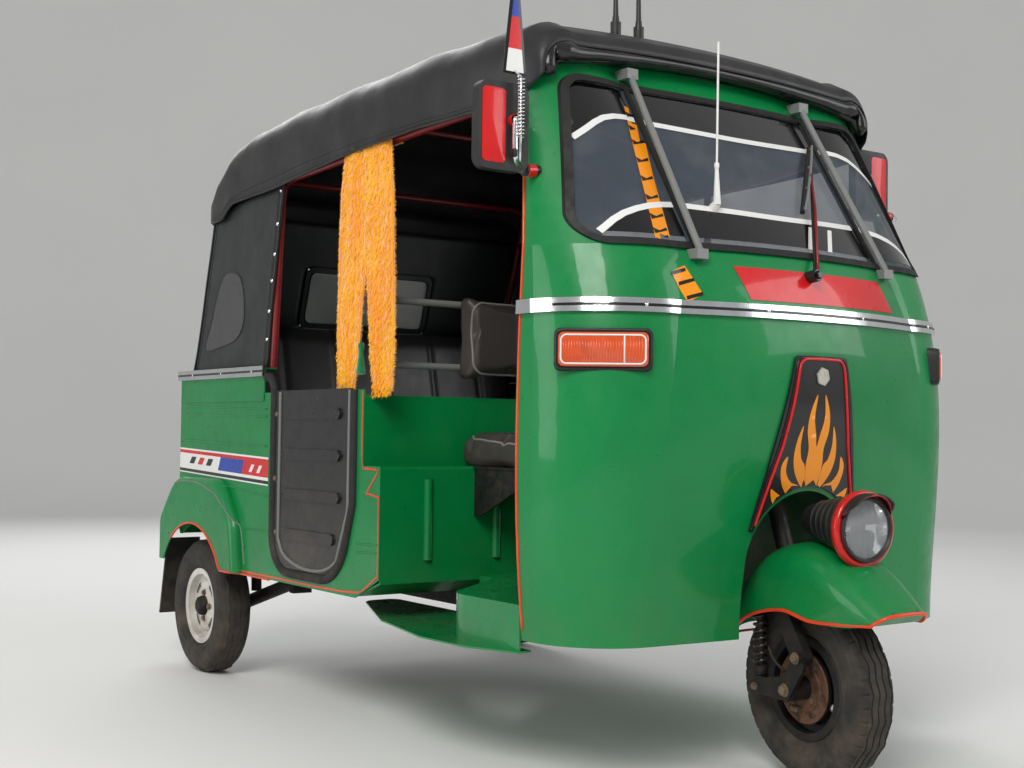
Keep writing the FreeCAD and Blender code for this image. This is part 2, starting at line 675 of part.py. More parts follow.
# Driver's seat
seat_w = 365.0
cushion_top_z = 752.0
seat_frame_t = 5.0
cushion = prism("x", [(-430, ledge_z + gap, 16), (upper_y - 6, ledge_z + gap, 10),
                      (upper_y - 6, cushion_top_z, 26), (-430, cushion_top_z, 34)], -seat_w, seat_w)
backrest_y = post_y - 9 - gap
backrest = prism("x", [(backrest_y - 66, 884, 16), (backrest_y, 884, 16), (backrest_y, 1126, 20),
                       (backrest_y - 52, 1126, 24)], -seat_w, seat_w)
keep("driver_seat", cushion, backrest)
seat_plate = box(-seat_w + 20, seat_w - 20, -415, body_nose_y - gap, ledge_z - seat_frame_t, ledge_z)
gussets = [seat_plate]
for x in (-340, -170, 164, 334):
    gussets.append(prism("x", [(body_nose_y - gap, ledge_z - seat_frame_t, 0), (-400, ledge_z - seat_frame_t, 0),
                               (-395, ledge_z - 22, 0), (body_nose_y - 26, 540, 0),
                               (body_nose_y - gap, 540, 0)][::-1], x, x + 6))
keep("driver_seat_frame", fuse(gussets))

# Passenger bench
bench_w = 560.0
bench = prism("x", [(496, deck_z + sheet + gap, 12), (905, deck_z + sheet + gap, 12), (905, 716, 40), (496, 722, 44)],
              -bench_w, bench_w)
bench_back = prism("x", [(885, 722, 20), (975, 722, 20), (1042, 1120, 30), (978, 1126, 30)], -bench_w + 5, bench_w - 5)
bench_rest = prism("x", [(912, deck_z + sheet + gap, 0), (940, deck_z + sheet + gap, 0), (962, 721.5, 0),
                         (930, 721.5, 0)], -bench_w + 20, bench_w - 20)
keep("passenger_seat", bench, fuse([bench_back, bench_rest]))

# Mirrors: each head's centre (x, y, z) and its arm's foot on the cowl
mirror_w = 130.0
mirror_h = 190.0
mirror_t = 26.0
MIRRORS = [
    ((-670.0, -711.0, 1411.0), (-562.0, -700.0, 1330.0)),
    ((670.0, -560.0, 1452.0), (562.0, -690.0, 1345.0)),
]
for i, (at, foot) in enumerate(MIRRORS):
    s = -1.0 if at[0] < 0 else 1.0
    x0 = at[0] - mirror_w / 2
    x1 = at[0] + mirror_w / 2
    z0 = at[2] - mirror_h / 2
    z1 = at[2] + mirror_h / 2
    glass_face = prism("y", [(x0, z0, 26), (x1, z0, 26), (x1, z1, 26), (x0, z1, 26)],
                       at[1] - mirror_t / 2, at[1] + mirror_t / 2)
    arm = rod([foot, (foot[0] + s * 60, foot[1] - 6, foot[2] - 6),
               (at[0] - s * 20, at[1] - (26 if i == 0 else 30), at[2] - 60),
               (at[0] - s * 22, at[1] - 22, at[2] + 20)], 6, 12)
    knob = cyl(11, (at[0] - s * 22, at[1] - 24, at[2] + 14), (at[0] - s * 22, at[1] - 4, at[2] + 14))
    pad = cyl(13, foot, (foot[0] + s * 40, foot[1] - 4, foot[2] - 4))
    body = fuse([glass_face, arm, knob, pad]).cut(cowl_body(COWL_HIGH, gap, 0.0, 1.0))
    body = max(body.Solids, key=lambda q: q.Volume)
    nodes.setdefault("mirrors", []).append(body)

# Pennant on a coil spring, on the right mirror
pen_x = -640.0
pen_y = MIRRORS[0][0][1] - 6.0
pen_z = MIRRORS[0][0][2] + mirror_h / 2
stem = cyl(4, (pen_x, pen_y, pen_z + gap), (pen_x, pen_y, pen_z + 26))
coil = cyl(7, (pen_x, pen_y, pen_z + 2), (pen_x, pen_y, pen_z + 20))
flag = prism("y", [(pen_x - 31, pen_z + 22, 5), (pen_x + 31, pen_z + 22, 5), (pen_x + 8, pen_z + 232, 5),
                   (pen_x - 8, pen_z + 232, 5)], pen_y - 3, pen_y + 3)
keep("pennant", fuse([stem, coil, flag]))

# Aerials: two on the canopy's brow, one beside the windscreen
roof_aerials = []
for x in (-228, -156):
    y = -552.0
    base = cyl(13, (x, y, 1690), (x, y, 1752)).cut(hood_out)
    base = max(base.Solids, key=lambda q: q.Volume)
    whip = cone(7, 3, (x, y, 1750), (x + 10, y + 14, 1985))
    roof_aerials.append(base.fuse(whip).removeSplitter())
keep("roof_aerials", *roof_aerials)
cone_at = (-192.0, -868.0, 1236.0)
mast_top = (-186.0, -868.0, 1640.0)
aerial = fuse([cone(24, 9, (cone_at[0], cone_at[1] + 40, cone_at[2] - 4), (cone_at[0], cone_at[1] - 6, cone_at[2] + 40)),
               cone(9, 4, (cone_at[0], cone_at[1] - 6, cone_at[2] + 36), (cone_at[0], cone_at[1] - 4, cone_at[2] + 120)),
               cyl(2.5, (cone_at[0], cone_at[1] - 4, cone_at[2] + 118), mast_top)])
aerial = aerial.cut(cowl_body(COWL_HIGH, 0.8, 0.0, 1.0))
aerial = max(aerial.Solids, key=lambda q: q.Volume)
keep("screen_aerial", aerial)

# Plush cloth that hangs from the right rail, split in two strands
cloth_t = 9.5
cloth_form = [(-106, 1500, 4), (-140, 1180, 10), (-142, 850, 8), (-40, 850, 8), (4, 1160, 3), (44, 900, 3),
              (60, 856, 8), (150, 856, 8), (162, 1100, 10), (134, 1500, 4)]
cloth = prism("x", cloth_form, -rail_x - tube_r - gap - cloth_t, -rail_x - tube_r - gap)
keep("plush_cloth", cloth)

# Engine block, chassis and the arms that carry the rear wheels
engine_mount = box(-70, 70, 640 + gap, 700, 300, 330)
engine = fuse([engine_mount, prism("x", [(690, 262, 20), (1060, 262, 20), (1060, 430, 30), (960, 500, 20), (690, 500, 20)], -190, 190),
               cyl(60, (-190, 900, 330), (-250, 900, 330)), cyl(60, (190, 900, 330), (250, 900, 330))])
keep("engine", engine)
rail_top = saloon_floor_z - sheet
chassis_parts = []
for x in (-290, 250):
    chassis_parts.append(box(x, x + 40, -690, 640, 292, rail_top))
for y in (-600, -40, 600):
    chassis_parts.append(box(-290, 290, y, y + 40, 296, rail_top - 4))
arm_pivot_z = 290.0
for s in (-1, 1):
    x0, x1 = sorted((s * 250, s * 470))
    chassis_parts.append(box(x0, x1, 600, 640, 296, rail_top - 4))
keep("chassis", fuse(chassis_parts))
arm_tube = rod([(-440, 650, 300), (-440, 720, 290), (-462, 1000, axle_z)], 20, 30)
arm_eye = box(-470, -410, 640 + gap, 668, 270, 330)
stub = cyl(stub_r, (-470, rear_y, axle_z), (-596, rear_y, axle_z))
hub_plate = cyl(46, (-462, rear_y, axle_z), (-500, rear_y, axle_z))
damper = cyl(16, (-455, 930, 250), (-455, 950, deck_z - 1.2))
trailing = fuse([arm_tube, arm_eye, stub, hub_plate, damper])
keep("trailing_arms", trailing, mirrored(trailing))

# Wheels
def turned(points):
    """Ring turned about the X axis from a closed outline of (x, radius) points."""
    w = Part.makePolygon([vec(x, 0, r) for x, r in points] + [vec(points[0][0], 0, points[0][1])])
    return Part.Face(w).revolve(vec(0, 0, 0), vec(1, 0, 0), 360)


def tyre_shape():
    w = tyre_w / 2.0
    bead = -rim_w / 2 + 4.8
    p = [vec(bead, 0, bead_r + gap), vec(bead, 0, flange_r + gap), vec(-rim_w / 2 - 1, 0, flange_r + 4),
         vec(-w, 0, 158), vec(-w + 8, 0, 190), vec(-24, 0, 203), vec(0, 0, tyre_r)]
    q = [vec(-a.x, 0, a.z) for a in p]
    wire = Part.Wire([
        Part.makeLine(p[0], p[1]), Part.makeLine(p[1], p[2]), Part.Arc(p[2], p[3], p[4]).toShape(),
        Part.makeLine(p[4], p[5]), Part.Arc(p[5], p[6], q[5]).toShape(), Part.makeLine(q[5], q[4]),
        Part.Arc(q[4], q[3], q[2]).toShape(), Part.makeLine(q[2], q[1]), Part.makeLine(q[1], q[0]),
        Part.makeLine(q[0], p[0])])
    return Part.Face(wire).revolve(vec(0, 0, 0), vec(1, 0, 0), 360)


def rim_shape(disc_x, hub_x0, hub_x1, hub_r):
    """Rim with its disc at disc_x and a hub with the axle's bore."""
    w = rim_w / 2.0
    ring = turned([(-w, flange_r), (-w + 4, flange_r), (-w + 4.5, bead_r), (-w + 24, bead_r - 2),
                   (-w + 28, 86), (w - 28, 86), (w - 24, bead_r - 2), (w - 4.5, bead_r), (w - 4, flange_r),
                   (w, flange_r), (w, bead_r - 4), (w - 22, bead_r - 6), (w - 25, 82), (-w + 25, 82),
                   (-w + 22, bead_r - 6), (-w, bead_r - 4)])
    disc = cyl(83, (disc_x, 0, 0), (disc_x + 4, 0, 0))
    hub = cyl(hub_r, (hub_x0, 0, 0), (hub_x1, 0, 0))
    for i in range(4):
        a = math.radians(45 + 90 * i)
        slot = cyl(9, (disc_x - 2, 62 * math.cos(a), 62 * math.sin(a)),
                   (disc_x + 6, 62 * math.cos(a), 62 * math.sin(a)))
        disc = disc.cut(slot)
    return fuse([ring, disc, hub]).cut(cyl(hub_bore_r, (hub_x0 - 1, 0, 0), (hub_x1 + 1, 0, 0)))


tyre = tyre_shape()
rear_rim = rim_shape(-14, -20, 40, 40)
cap_hub = cone(30, 22, (-20, 0, 0), (-48, 0, 0)).cut(cyl(hub_bore_r, (-19, 0, 0), (-30, 0, 0)))
rear_rim = fuse([rear_rim, cap_hub])
for side_name, s in (("right", -1), ("left", 1)):
    t = moved(tyre, s * rear_track / 2, rear_y, axle_z)
    w = rear_rim if s < 0 else mirrored(rear_rim)
    keep("tyre_rear_" + side_name, t)
    keep("rim_rear_" + side_name, moved(w, s * rear_track / 2, rear_y, axle_z))

# Steered pieces, made straight and turned to the parked angle
steer_axis = (0.0, math.sin(rake), math.cos(rake))
axle_at = (0.0, front_y, axle_z)


def steered(shape):
    return lie(shape, -parked_steer_deg, steer_axis, axle_at)


front_rim = rim_shape(6, -26, 26, 34)
keep("tyre_front", steered(moved(tyre, *axle_at)))
keep("rim_front", steered(moved(front_rim, *axle_at)))

# Front fender: sections round the axle, angle from the rear, crown radius, half width, side's foot radius
FENDER = [
    (24, 238, 84, 214),
    (50, 272, 97, 190),
    (90, 320, 100, 176),
    (122, 324, 94, 190),
    (146, 342, 70, 300),
]


def fender_ring(angle, crown, w, foot, inset, drop):
    t = math.radians(angle)
    d = (math.cos(t), math.sin(t))

    def at(x, r):
        return vec(x, front_y + d[0] * r, axle_z + d[1] * r)

    top = crown - inset
    side_r = max(foot + 12, crown - 62)
    p = [at(w - inset, foot - drop), at(w - inset, side_r), at((w - inset) * 0.78, side_r + (top - side_r) * 0.72),
         at(0, top)]
    q0 = at(-(w - inset), foot - drop)
    q1 = at(-(w - inset), side_r)
    q2 = at(-(w - inset) * 0.78, side_r + (top - side_r) * 0.72)
    return Part.Wire([
        Part.makeLine(q0, p[0]), Part.makeLine(p[0], p[1]),
        Part.Arc(p[1], p[2], at((w - inset) * 0.42, side_r + (top - side_r) * 0.95)).toShape(),
        Part.Arc(at((w - inset) * 0.42, side_r + (top - side_r) * 0.95), p[3],
                 at(-(w - inset) * 0.42, side_r + (top - side_r) * 0.95)).toShape(),
        Part.Arc(at(-(w - inset) * 0.42, side_r + (top - side_r) * 0.95), q2, q1).toShape(),
        Part.makeLine(q1, q0)])


fender_t = 3.0
front_out = Part.makeLoft([fender_ring(*row, 0, 0) for row in FENDER], True, False)
inner_table = [(FENDER[0][0] - 4,) + FENDER[0][1:]] + FENDER[1:-1] + [(FENDER[-1][0] - 1.2,) + FENDER[-1][1:]]
front_in = Part.makeLoft([fender_ring(*row, fender_t, 40) for row in inner_table], True, False)
front_fender = front_out.cut(front_in)
front_fender = front_fender.cut(cyl(column_r + gap, on_axis(420), on_axis(640)))
front_fender = max(front_fender.Solids, key=lambda q: q.Volume)
keep("front_fender", steered(front_fender))

# Fork on the wheel's right side
fork_x0 = -82.0
fork_x1 = -62.0
column = cyl(column_r, on_axis(440), on_axis(930))
bridge = prism("y", [(fork_x0, 426, 0), (column_r + 8, 426, 6), (column_r + 8, 450, 6), (-52, 450, 0),
                     (-64, 438, 0), (fork_x0, 438, 0)], -947, -888)
leg = prism("x", [(-1078, 262, 18), (-1022, 262, 18), (-922, 426, 0), (-922, 450, 0), (-952, 450, 0)],
            fork_x0, fork_x1)
fork = fuse([column, bridge, leg])
link_x0 = fork_x0 - 10.0
pivot = (-1047.0, 282.0)
link = prism("x", [(-1066, 262, 12), (-1010, 182, 20), (-886, 184, 14), (-886, 212, 14), (-1000, 236, 20),
                   (-1040, 300, 12)], link_x0, fork_x0 - gap)
axle = cyl(stub_r, (link_x0, front_y, axle_z), (40, front_y, axle_z))
link_bolt = cyl(9, (link_x0 - 8, pivot[0], pivot[1]), (link_x0, pivot[0], pivot[1]))
plate_disc = cyl(80, (-36, front_y, axle_z), (-28, front_y, axle_z))
plate_hub = cyl(26, (fork_x0 - 5, front_y, axle_z), (-28, front_y, axle_z))
link_all = fuse([link, axle, link_bolt, plate_disc, plate_hub]).cut(fork.fuse(leg))
keep("steering_fork", steered(fork))
# Spring and damper between the link and the fork's bridge
spring_at = (-75.0, -903.0)
spring_r = 15.0
seat_z = 222.0
spring_top = 426.0 - gap
seat_pad = cyl(16, (spring_at[0], spring_at[1], seat_z - 14), (spring_at[0], spring_at[1], seat_z))
nodes["fork_link"] = steered(fuse([link_all, seat_pad])).Solids
turns = 9
coil_low = seat_z + 24
coil_high = spring_top - 30
pitch = (coil_high - coil_low) / turns
ridges = [vec(0, 0, seat_z + gap), vec(13, 0, seat_z + gap), vec(13, 0, coil_low)]
for i in range(turns):
    z = coil_low + i * pitch
    ridges += [vec(spring_r, 0, z + pitch * 0.3), vec(spring_r, 0, z + pitch * 0.6), vec(10, 0, z + pitch * 0.95)]
ridges += [vec(13, 0, coil_high + 2), vec(13, 0, spring_top), vec(0, 0, spring_top)]
wire = Part.makePolygon(ridges + [ridges[0]])
spring = Part.Face(wire).revolve(vec(0, 0, 0), vec(0, 0, 1), 360)
keep("spring_damper", steered(moved(spring, spring_at[0], spring_at[1], 0)))

# Headlamp on the fender's crown: housing with its brow, red rim, lens
lamp_z = 562.0
lamp_front_y = -1150.0
lamp_r = 72.0
rim_in_r = 62.0
lens_r = 61.5
shell_lamp = cone(34, lamp_r, (0, -1000, 574), (0, lamp_front_y - 7, lamp_z))
shell_lamp = shell_lamp.common(box(-100, 100, lamp_front_y, -900, 400, 700))
shell_lamp = shell_lamp.cut(cone(8, 60, (0, -1070, lamp_z), (0, lamp_front_y - 0.5, lamp_z)))
brow_ring = cyl(lamp_r + 5, (0, lamp_front_y + 4, lamp_z), (0, lamp_front_y - 46, lamp_z))
brow_ring = brow_ring.cut(cyl(lamp_r + 2, (0, lamp_front_y + 5, lamp_z), (0, lamp_front_y - 47, lamp_z)))
brow_cut = prism("x", [(lamp_front_y + 6, lamp_z - 90, 0), (lamp_front_y + 6, lamp_z + 8, 0),
                       (lamp_front_y - 48, lamp_z + 56, 0), (lamp_front_y - 48, lamp_z - 90, 0)][::-1], -90, 90)
brow_ring = brow_ring.cut(brow_cut)
brow_foot = cyl(lamp_r + 5, (0, lamp_front_y + 8, lamp_z), (0, lamp_front_y, lamp_z))
brow_foot = brow_foot.cut(prism("x", [(lamp_front_y + 9, lamp_z - 90, 0), (lamp_front_y + 9, lamp_z + 8, 0),
                                      (lamp_front_y - 1, lamp_z + 8, 0), (lamp_front_y - 1, lamp_z - 90, 0)][::-1],
                                -90, 90))
headlamp = fuse([shell_lamp, brow_foot, brow_ring]).cut(front_out)
headlamp = max(headlamp.Solids, key=lambda q: q.Volume)
keep("headlamp", steered(headlamp))
rim_ring = cyl(lamp_r - 1, (0, lamp_front_y - gap, lamp_z), (0, lamp_front_y - 14, lamp_z))
rim_ring = rim_ring.cut(cyl(rim_in_r, (0, lamp_front_y + 1, lamp_z), (0, lamp_front_y - 15, lamp_z)))
rim_ring = rim_ring.cut(front_out)
keep("headlamp_rim", steered(rim_ring))
bulge = Part.makeSphere(150, vec(0, lamp_front_y - 22 + 150, lamp_z))
lens_block = cyl(lens_r, (0, lamp_front_y + 6, lamp_z), (0, lamp_front_y - 30, lamp_z)).common(bulge)
lens_block = lens_block.common(box(-100, 100, lamp_front_y - 40, lamp_front_y - gap, lamp_z - 100, lamp_z + 100))
keep("headlamp_lens", steered(lens_block))

# Handlebar
bar_z = 946.0
bar_path = [(-312, -632, bar_z + 16), (-236, -650, bar_z + 12), (-110, -762, bar_z), (110, -762, bar_z),
            (236, -650, bar_z + 12), (312, -632, bar_z + 16)]
handle = rod(bar_path, 11, 40)
grip_r = cyl(17, bar_path[0], (-218, -656, bar_z + 10))
clamp = box(-42, 42, -792, -738, 922, 968)
handlebar = fuse([handle, grip_r, mirrored(grip_r), clamp]).cut(column)
handlebar = max(handlebar.Solids, key=lambda q: q.Volume)
keep("handlebar", steered(handlebar))

for name in nodes:
    comp = Part.makeCompound(nodes[name])
    comp.exportStep("parts/" + name + ".step")
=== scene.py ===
import bpy
import bmesh
import math
import random
from mathutils import Matrix, Vector, noise
from mathutils.bvhtree import BVHTree


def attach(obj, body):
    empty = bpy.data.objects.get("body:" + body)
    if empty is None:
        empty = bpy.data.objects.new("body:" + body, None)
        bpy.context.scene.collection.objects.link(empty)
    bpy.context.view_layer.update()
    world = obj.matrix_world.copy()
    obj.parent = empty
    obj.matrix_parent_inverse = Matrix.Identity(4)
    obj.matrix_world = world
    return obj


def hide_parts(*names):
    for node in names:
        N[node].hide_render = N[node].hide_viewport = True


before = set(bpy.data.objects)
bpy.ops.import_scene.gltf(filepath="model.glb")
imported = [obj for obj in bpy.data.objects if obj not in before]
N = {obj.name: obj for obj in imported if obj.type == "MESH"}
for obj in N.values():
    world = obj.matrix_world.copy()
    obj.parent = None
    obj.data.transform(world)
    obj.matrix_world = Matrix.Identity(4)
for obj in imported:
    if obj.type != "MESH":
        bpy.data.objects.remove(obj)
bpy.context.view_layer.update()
random.seed(7)

# Materials, all from nodes


def lin(r, g, b):
    """sRGB 0-255 as a linear colour."""
    out = []
    for c in (r, g, b):
        c = c / 255.0
        out.append(c / 12.92 if c <= 0.04045 else ((c + 0.055) / 1.055) ** 2.4)
    return tuple(out) + (1.0,)


class Mat:
    """A node material under construction: Principled shader plus small helpers."""

    def __init__(self, name, color, rough=0.5, metal=0.0, coat=0.0, coat_rough=0.05, spec=None, sheen=0.0):
        self.m = bpy.data.materials.new(name)
        self.m.use_nodes = True
        self.t = self.m.node_tree
        self.p = self.t.nodes["Principled BSDF"]
        self.p.inputs["Base Color"].default_value = color
        self.p.inputs["Roughness"].default_value = rough
        self.p.inputs["Metallic"].default_value = metal
        self.p.inputs["Coat Weight"].default_value = coat
        self.p.inputs["Coat Roughness"].default_value = coat_rough
        if spec is not None:
            self.p.inputs["Specular IOR Level"].default_value = spec
        if sheen:
            self.p.inputs["Sheen Weight"].default_value = sheen
        self.color = None
        self.base = color
        self.coord = self.t.nodes.new("ShaderNodeTexCoord").outputs["Object"]
        self.height = None

    def node(self, kind, **values):
        n = self.t.nodes.new(kind)
        for k, v in values.items():
            if k in n.inputs:
                n.inputs[k].default_value = v
            else:
                setattr(n, k, v)
        return n

    def link(self, a, b):
        self.t.links.new(a, b)

    def noise(self, scale, detail=2.0, rough=0.6, stretch=None):
        n = self.node("ShaderNodeTexNoise", Scale=scale, Detail=detail, Roughness=rough)
        src = self.coord
        if stretch:
            mp = self.node("ShaderNodeMapping")
            mp.inputs["Scale"].default_value = stretch
            self.link(src, mp.inputs["Vector"])
            src = mp.outputs["Vector"]
        self.link(src, n.inputs["Vector"])
        return n.outputs["Fac"]

    def ramp(self, fac, lo, hi, a=0.0, b=1.0):
        n = self.node("ShaderNodeMapRange")
        n.inputs["From Min"].default_value = lo
        n.inputs["From Max"].default_value = hi
        n.inputs["To Min"].default_value = a
        n.inputs["To Max"].default_value = b
        self.link(fac, n.inputs["Value"])
        return n.outputs["Result"]

    def mix(self, fac, color, amount=1.0):
        """Lays a colour over what is there, where fac is high."""
        n = self.node("ShaderNodeMix", data_type="RGBA")
        f = fac
        if amount != 1.0:
            mu = self.node("ShaderNodeMath", operation="MULTIPLY")
            self.link(fac, mu.inputs[0])
            mu.inputs[1].default_value = amount
            f = mu.outputs[0]
        self.link(f, n.inputs[0])
        if self.color is None:
            n.inputs[6].default_value = self.base
        else:
            self.link(self.color, n.inputs[6])
        if isinstance(color, tuple):
            n.inputs[7].default_value = color
        else:
            self.link(color, n.inputs[7])
        self.color = n.outputs[2]
        return self

    def axis(self, which):
        s = self.node("ShaderNodeSeparateXYZ")
        self.link(self.coord, s.inputs[0])
        return s.outputs[which]

    def math(self, op, a, b=None, c=None):
        n = self.node("ShaderNodeMath", operation=op)
        for i, v in enumerate((a, b, c)):
            if v is None:
                continue
            if isinstance(v, (int, float)):
                n.inputs[i].default_value = v
            else:
                self.link(v, n.inputs[i])
        return n.outputs[0]

    def rough(self, fac, a, b):
        self.link(self.ramp(fac, 0.3, 0.7, a, b), self.p.inputs["Roughness"])
        return self

    def bump(self, fac, strength=0.2, dist=0.001):
        n = self.node("ShaderNodeBump")
        n.inputs["Strength"].default_value = strength
        n.inputs["Distance"].default_value = dist
        self.link(fac, n.inputs["Height"])
        if self.height is not None:
            self.link(self.height, n.inputs["Normal"])
        self.height = n.outputs["Normal"]
        return self

    def done(self):
        if self.color is not None:
            self.link(self.color, self.p.inputs["Base Color"])
        if self.height is not None:
            self.link(self.height, self.p.inputs["Normal"])
        return self.m


def dust(m, top, color=lin(120, 100, 78), amount=0.45, scale=9.0):
    """Road dust that thins out towards the height top."""
    z = m.axis(2)
    fade = m.ramp(z, top, 0.1, 0.0, 1.0)
    patch = m.ramp(m.noise(scale, 3.0, 0.7), 0.35, 0.7)
    m.mix(m.math("MULTIPLY", fade, patch), color, amount)
    return m


def paint(name, color, rough=0.36, coat=0.35, dirt=0.22, dirt_top=0.55, spread=0.10):
    m = Mat(name, color, rough, coat=coat, coat_rough=0.06, spec=0.25)
    dark = tuple(c * (1 - spread * 2.4) for c in color[:3]) + (1.0,)
    m.mix(m.ramp(m.noise(3.2, 2.0), 0.42, 0.68), dark, 0.6)
    light = tuple(min(1, c * 1.5 + 0.02) for c in color[:3]) + (1.0,)
    m.mix(m.ramp(m.noise(140.0, 1.0), 0.62, 0.75), light, 0.18)
    if dirt:
        dust(m, dirt_top, amount=dirt)
    m.rough(m.noise(22.0, 2.0), rough * 0.75, rough * 1.35)
    m.bump(m.noise(7.0, 1.0), 0.12, 0.004)
    return m.done()


def steel(name, color, rough, metal=1.0, grime=lin(70, 52, 38), amount=0.5, scale=26.0):
    m = Mat(name, color, rough, metal=metal)
    m.mix(m.ramp(m.noise(scale, 3.0, 0.7), 0.48, 0.66), grime, amount)
    m.rough(m.noise(scale * 2, 2.0), rough * 0.8, min(1.0, rough * 1.5))
    m.bump(m.noise(scale * 8, 2.0), 0.15, 0.0006)
    return m.done()


def plastic(name, color, rough=0.45, grain=420.0, dirt=0.2):
    m = Mat(name, color, rough)
    m.mix(m.ramp(m.noise(11.0, 3.0), 0.45, 0.7), lin(96, 88, 76), dirt * 0.5)
    m.rough(m.noise(30.0), rough * 0.85, rough * 1.3)
    m.bump(m.noise(grain, 2.0), 0.18, 0.0004)
    return m.done()


def vinyl(name, color, rough=0.42):
    m = Mat(name, color, rough, coat=0.10, coat_rough=0.22, spec=0.4)
    m.mix(m.ramp(m.noise(5.0, 3.0), 0.46, 0.72), lin(74, 72, 70), 0.22)
    v = m.node("ShaderNodeTexVoronoi", Scale=620.0)
    m.link(m.coord, v.inputs["Vector"])
    m.rough(m.noise(16.0), rough * 0.95, rough * 1.25)
    m.bump(v.outputs["Distance"], 0.25, 0.0006)
    m.bump(m.noise(9.0, 2.0), 0.22, 0.006)
    return m.done()


def rubber(name, color, rough=0.62, dirt=0.4, top=0.6):
    m = Mat(name, color, rough, spec=0.4)
    dust(m, top, lin(112, 96, 78), dirt, 14.0)
    m.rough(m.noise(36.0), rough * 0.85, min(1.0, rough * 1.25))
    m.bump(m.noise(260.0, 1.0), 0.25, 0.0005)
    return m.done()


def lens(name, color, rough=0.12, cells=150.0, alpha=1.0):
    m = Mat(name, color, rough, coat=1.0, coat_rough=0.03)
    m.mix(m.ramp(m.noise(18.0), 0.5, 0.75), tuple(c * 0.55 for c in color[:3]) + (1.0,), 0.6)
    v = m.node("ShaderNodeTexVoronoi", Scale=cells)
    m.link(m.coord, v.inputs["Vector"])
    m.bump(v.outputs["Distance"], 0.35, 0.0015)
    if alpha < 1.0:
        m.p.inputs["Transmission Weight"].default_value = 1.0 - alpha
    return m.done()


def glass(name, tint=(0.90, 0.95, 0.94, 1.0), alpha=0.16, rough=0.02, marks=0.35):
    """Thin clear pane: mostly see-through with a bright film of its tint, a painted reflection, as real glass
    looks at a slant.
    """
    m = Mat(name, tint, rough, coat=0.15, coat_rough=0.02, spec=0.5)
    m.mix(m.ramp(m.noise(6.0, 3.0, 0.7), 0.5, 0.72), lin(190, 186, 176), marks)
    # The film's opacity, higher in noise patches, lays the tint over the pane as a painted reflection.
    film = m.ramp(m.noise(4.0, 2.0, 0.7), 0.40, 0.75, alpha, alpha + 0.10)
    m.link(film, m.p.inputs["Alpha"])
    return m.done()


def fur(name, light, dark):
    m = Mat(name, light, 0.95, spec=0.1, sheen=0.8)
    m.mix(m.ramp(m.noise(16.0, 3.0, 0.7, (1.0, 1.0, 0.35)), 0.38, 0.66), dark, 0.85)
    # Fine darker streaks meant as the hair roots: painted shade deep in the pile.
    pile_shade = tuple(c * 0.6 for c in dark[:3]) + (1.0,)
    m.mix(m.ramp(m.noise(240.0, 1.0, 0.6, (1.0, 1.0, 0.3)), 0.40, 0.70), pile_shade, 0.35)
    m.bump(m.noise(260.0, 2.0, 0.7, (1.0, 1.0, 0.35)), 0.7, 0.004)
    return m.done()


GREEN = lin(0, 124, 62)
M = {}
M["green"] = paint("green_paint", GREEN)
M["green_floor"] = paint("green_floor_paint", lin(0, 126, 66), 0.3, 0.45, 0.35, 0.5)
# Darker copy of the green for the rear deck and wheel wells: its darker base is painted shade, the tan road
# dust laid over it is real dust.
M["green_under_shaded"] = paint("green_dusty_shaded_paint", lin(10, 84, 48), 0.55, 0.1, 0.8, 1.2)
M["black_panel"] = paint("black_panel_paint", lin(26, 27, 29), 0.36, 0.4, 0.35, 0.7, 0.05)
M["red_tube"] = paint("dark_red_paint", lin(118, 20, 22), 0.4, 0.3, 0.0)
M["grey"] = paint("grey_paint", lin(122, 124, 122), 0.42, 0.2, 0.2, 0.4, 0.08)
M["white_rim"] = paint("white_rim_paint", lin(214, 213, 206), 0.35, 0.5, 0.75, 0.45, 0.03)
M["black_steel"] = steel("black_steel", lin(30, 30, 31), 0.5, 0.4)
M["dusty_steel"] = steel("dusty_steel", lin(128, 112, 92), 0.6, 0.5, lin(92, 66, 44), 0.8, 40.0)
M["bright"] = steel("bright_strip", lin(222, 224, 228), 0.14, 1.0, lin(140, 130, 118), 0.15, 14.0)
M["chrome"] = steel("chrome", lin(232, 233, 236), 0.07, 1.0, lin(120, 110, 98), 0.12, 20.0)
M["cast"] = steel("cast_metal", lin(138, 138, 136), 0.6, 0.8, lin(58, 48, 38), 0.7, 18.0)
M["vinyl"] = vinyl("black_vinyl", lin(27, 27, 29))
M["vinyl_gloss"] = vinyl("glossy_vinyl", lin(20, 20, 22), 0.16)
M["seat_vinyl"] = vinyl("seat_vinyl", lin(58, 52, 50), 0.42)
M["rubber"] = rubber("rubber", lin(26, 26, 26))
M["tyre"] = rubber("tyre_rubber", lin(40, 39, 38), 0.72, 0.38, 0.47)
M["plastic"] = plastic("black_plastic", lin(24, 24, 25))
M["white_plastic"] = plastic("white_plastic", lin(224, 224, 220), 0.3, 300.0, 0.15)
M["amber"] = lens("amber_lens", lin(214, 78, 14))
M["red_lens"] = lens("red_lens", lin(170, 16, 14))
M["clear_lens"] = lens("clear_lens", lin(214, 218, 220), 0.08, 90.0, 0.35)
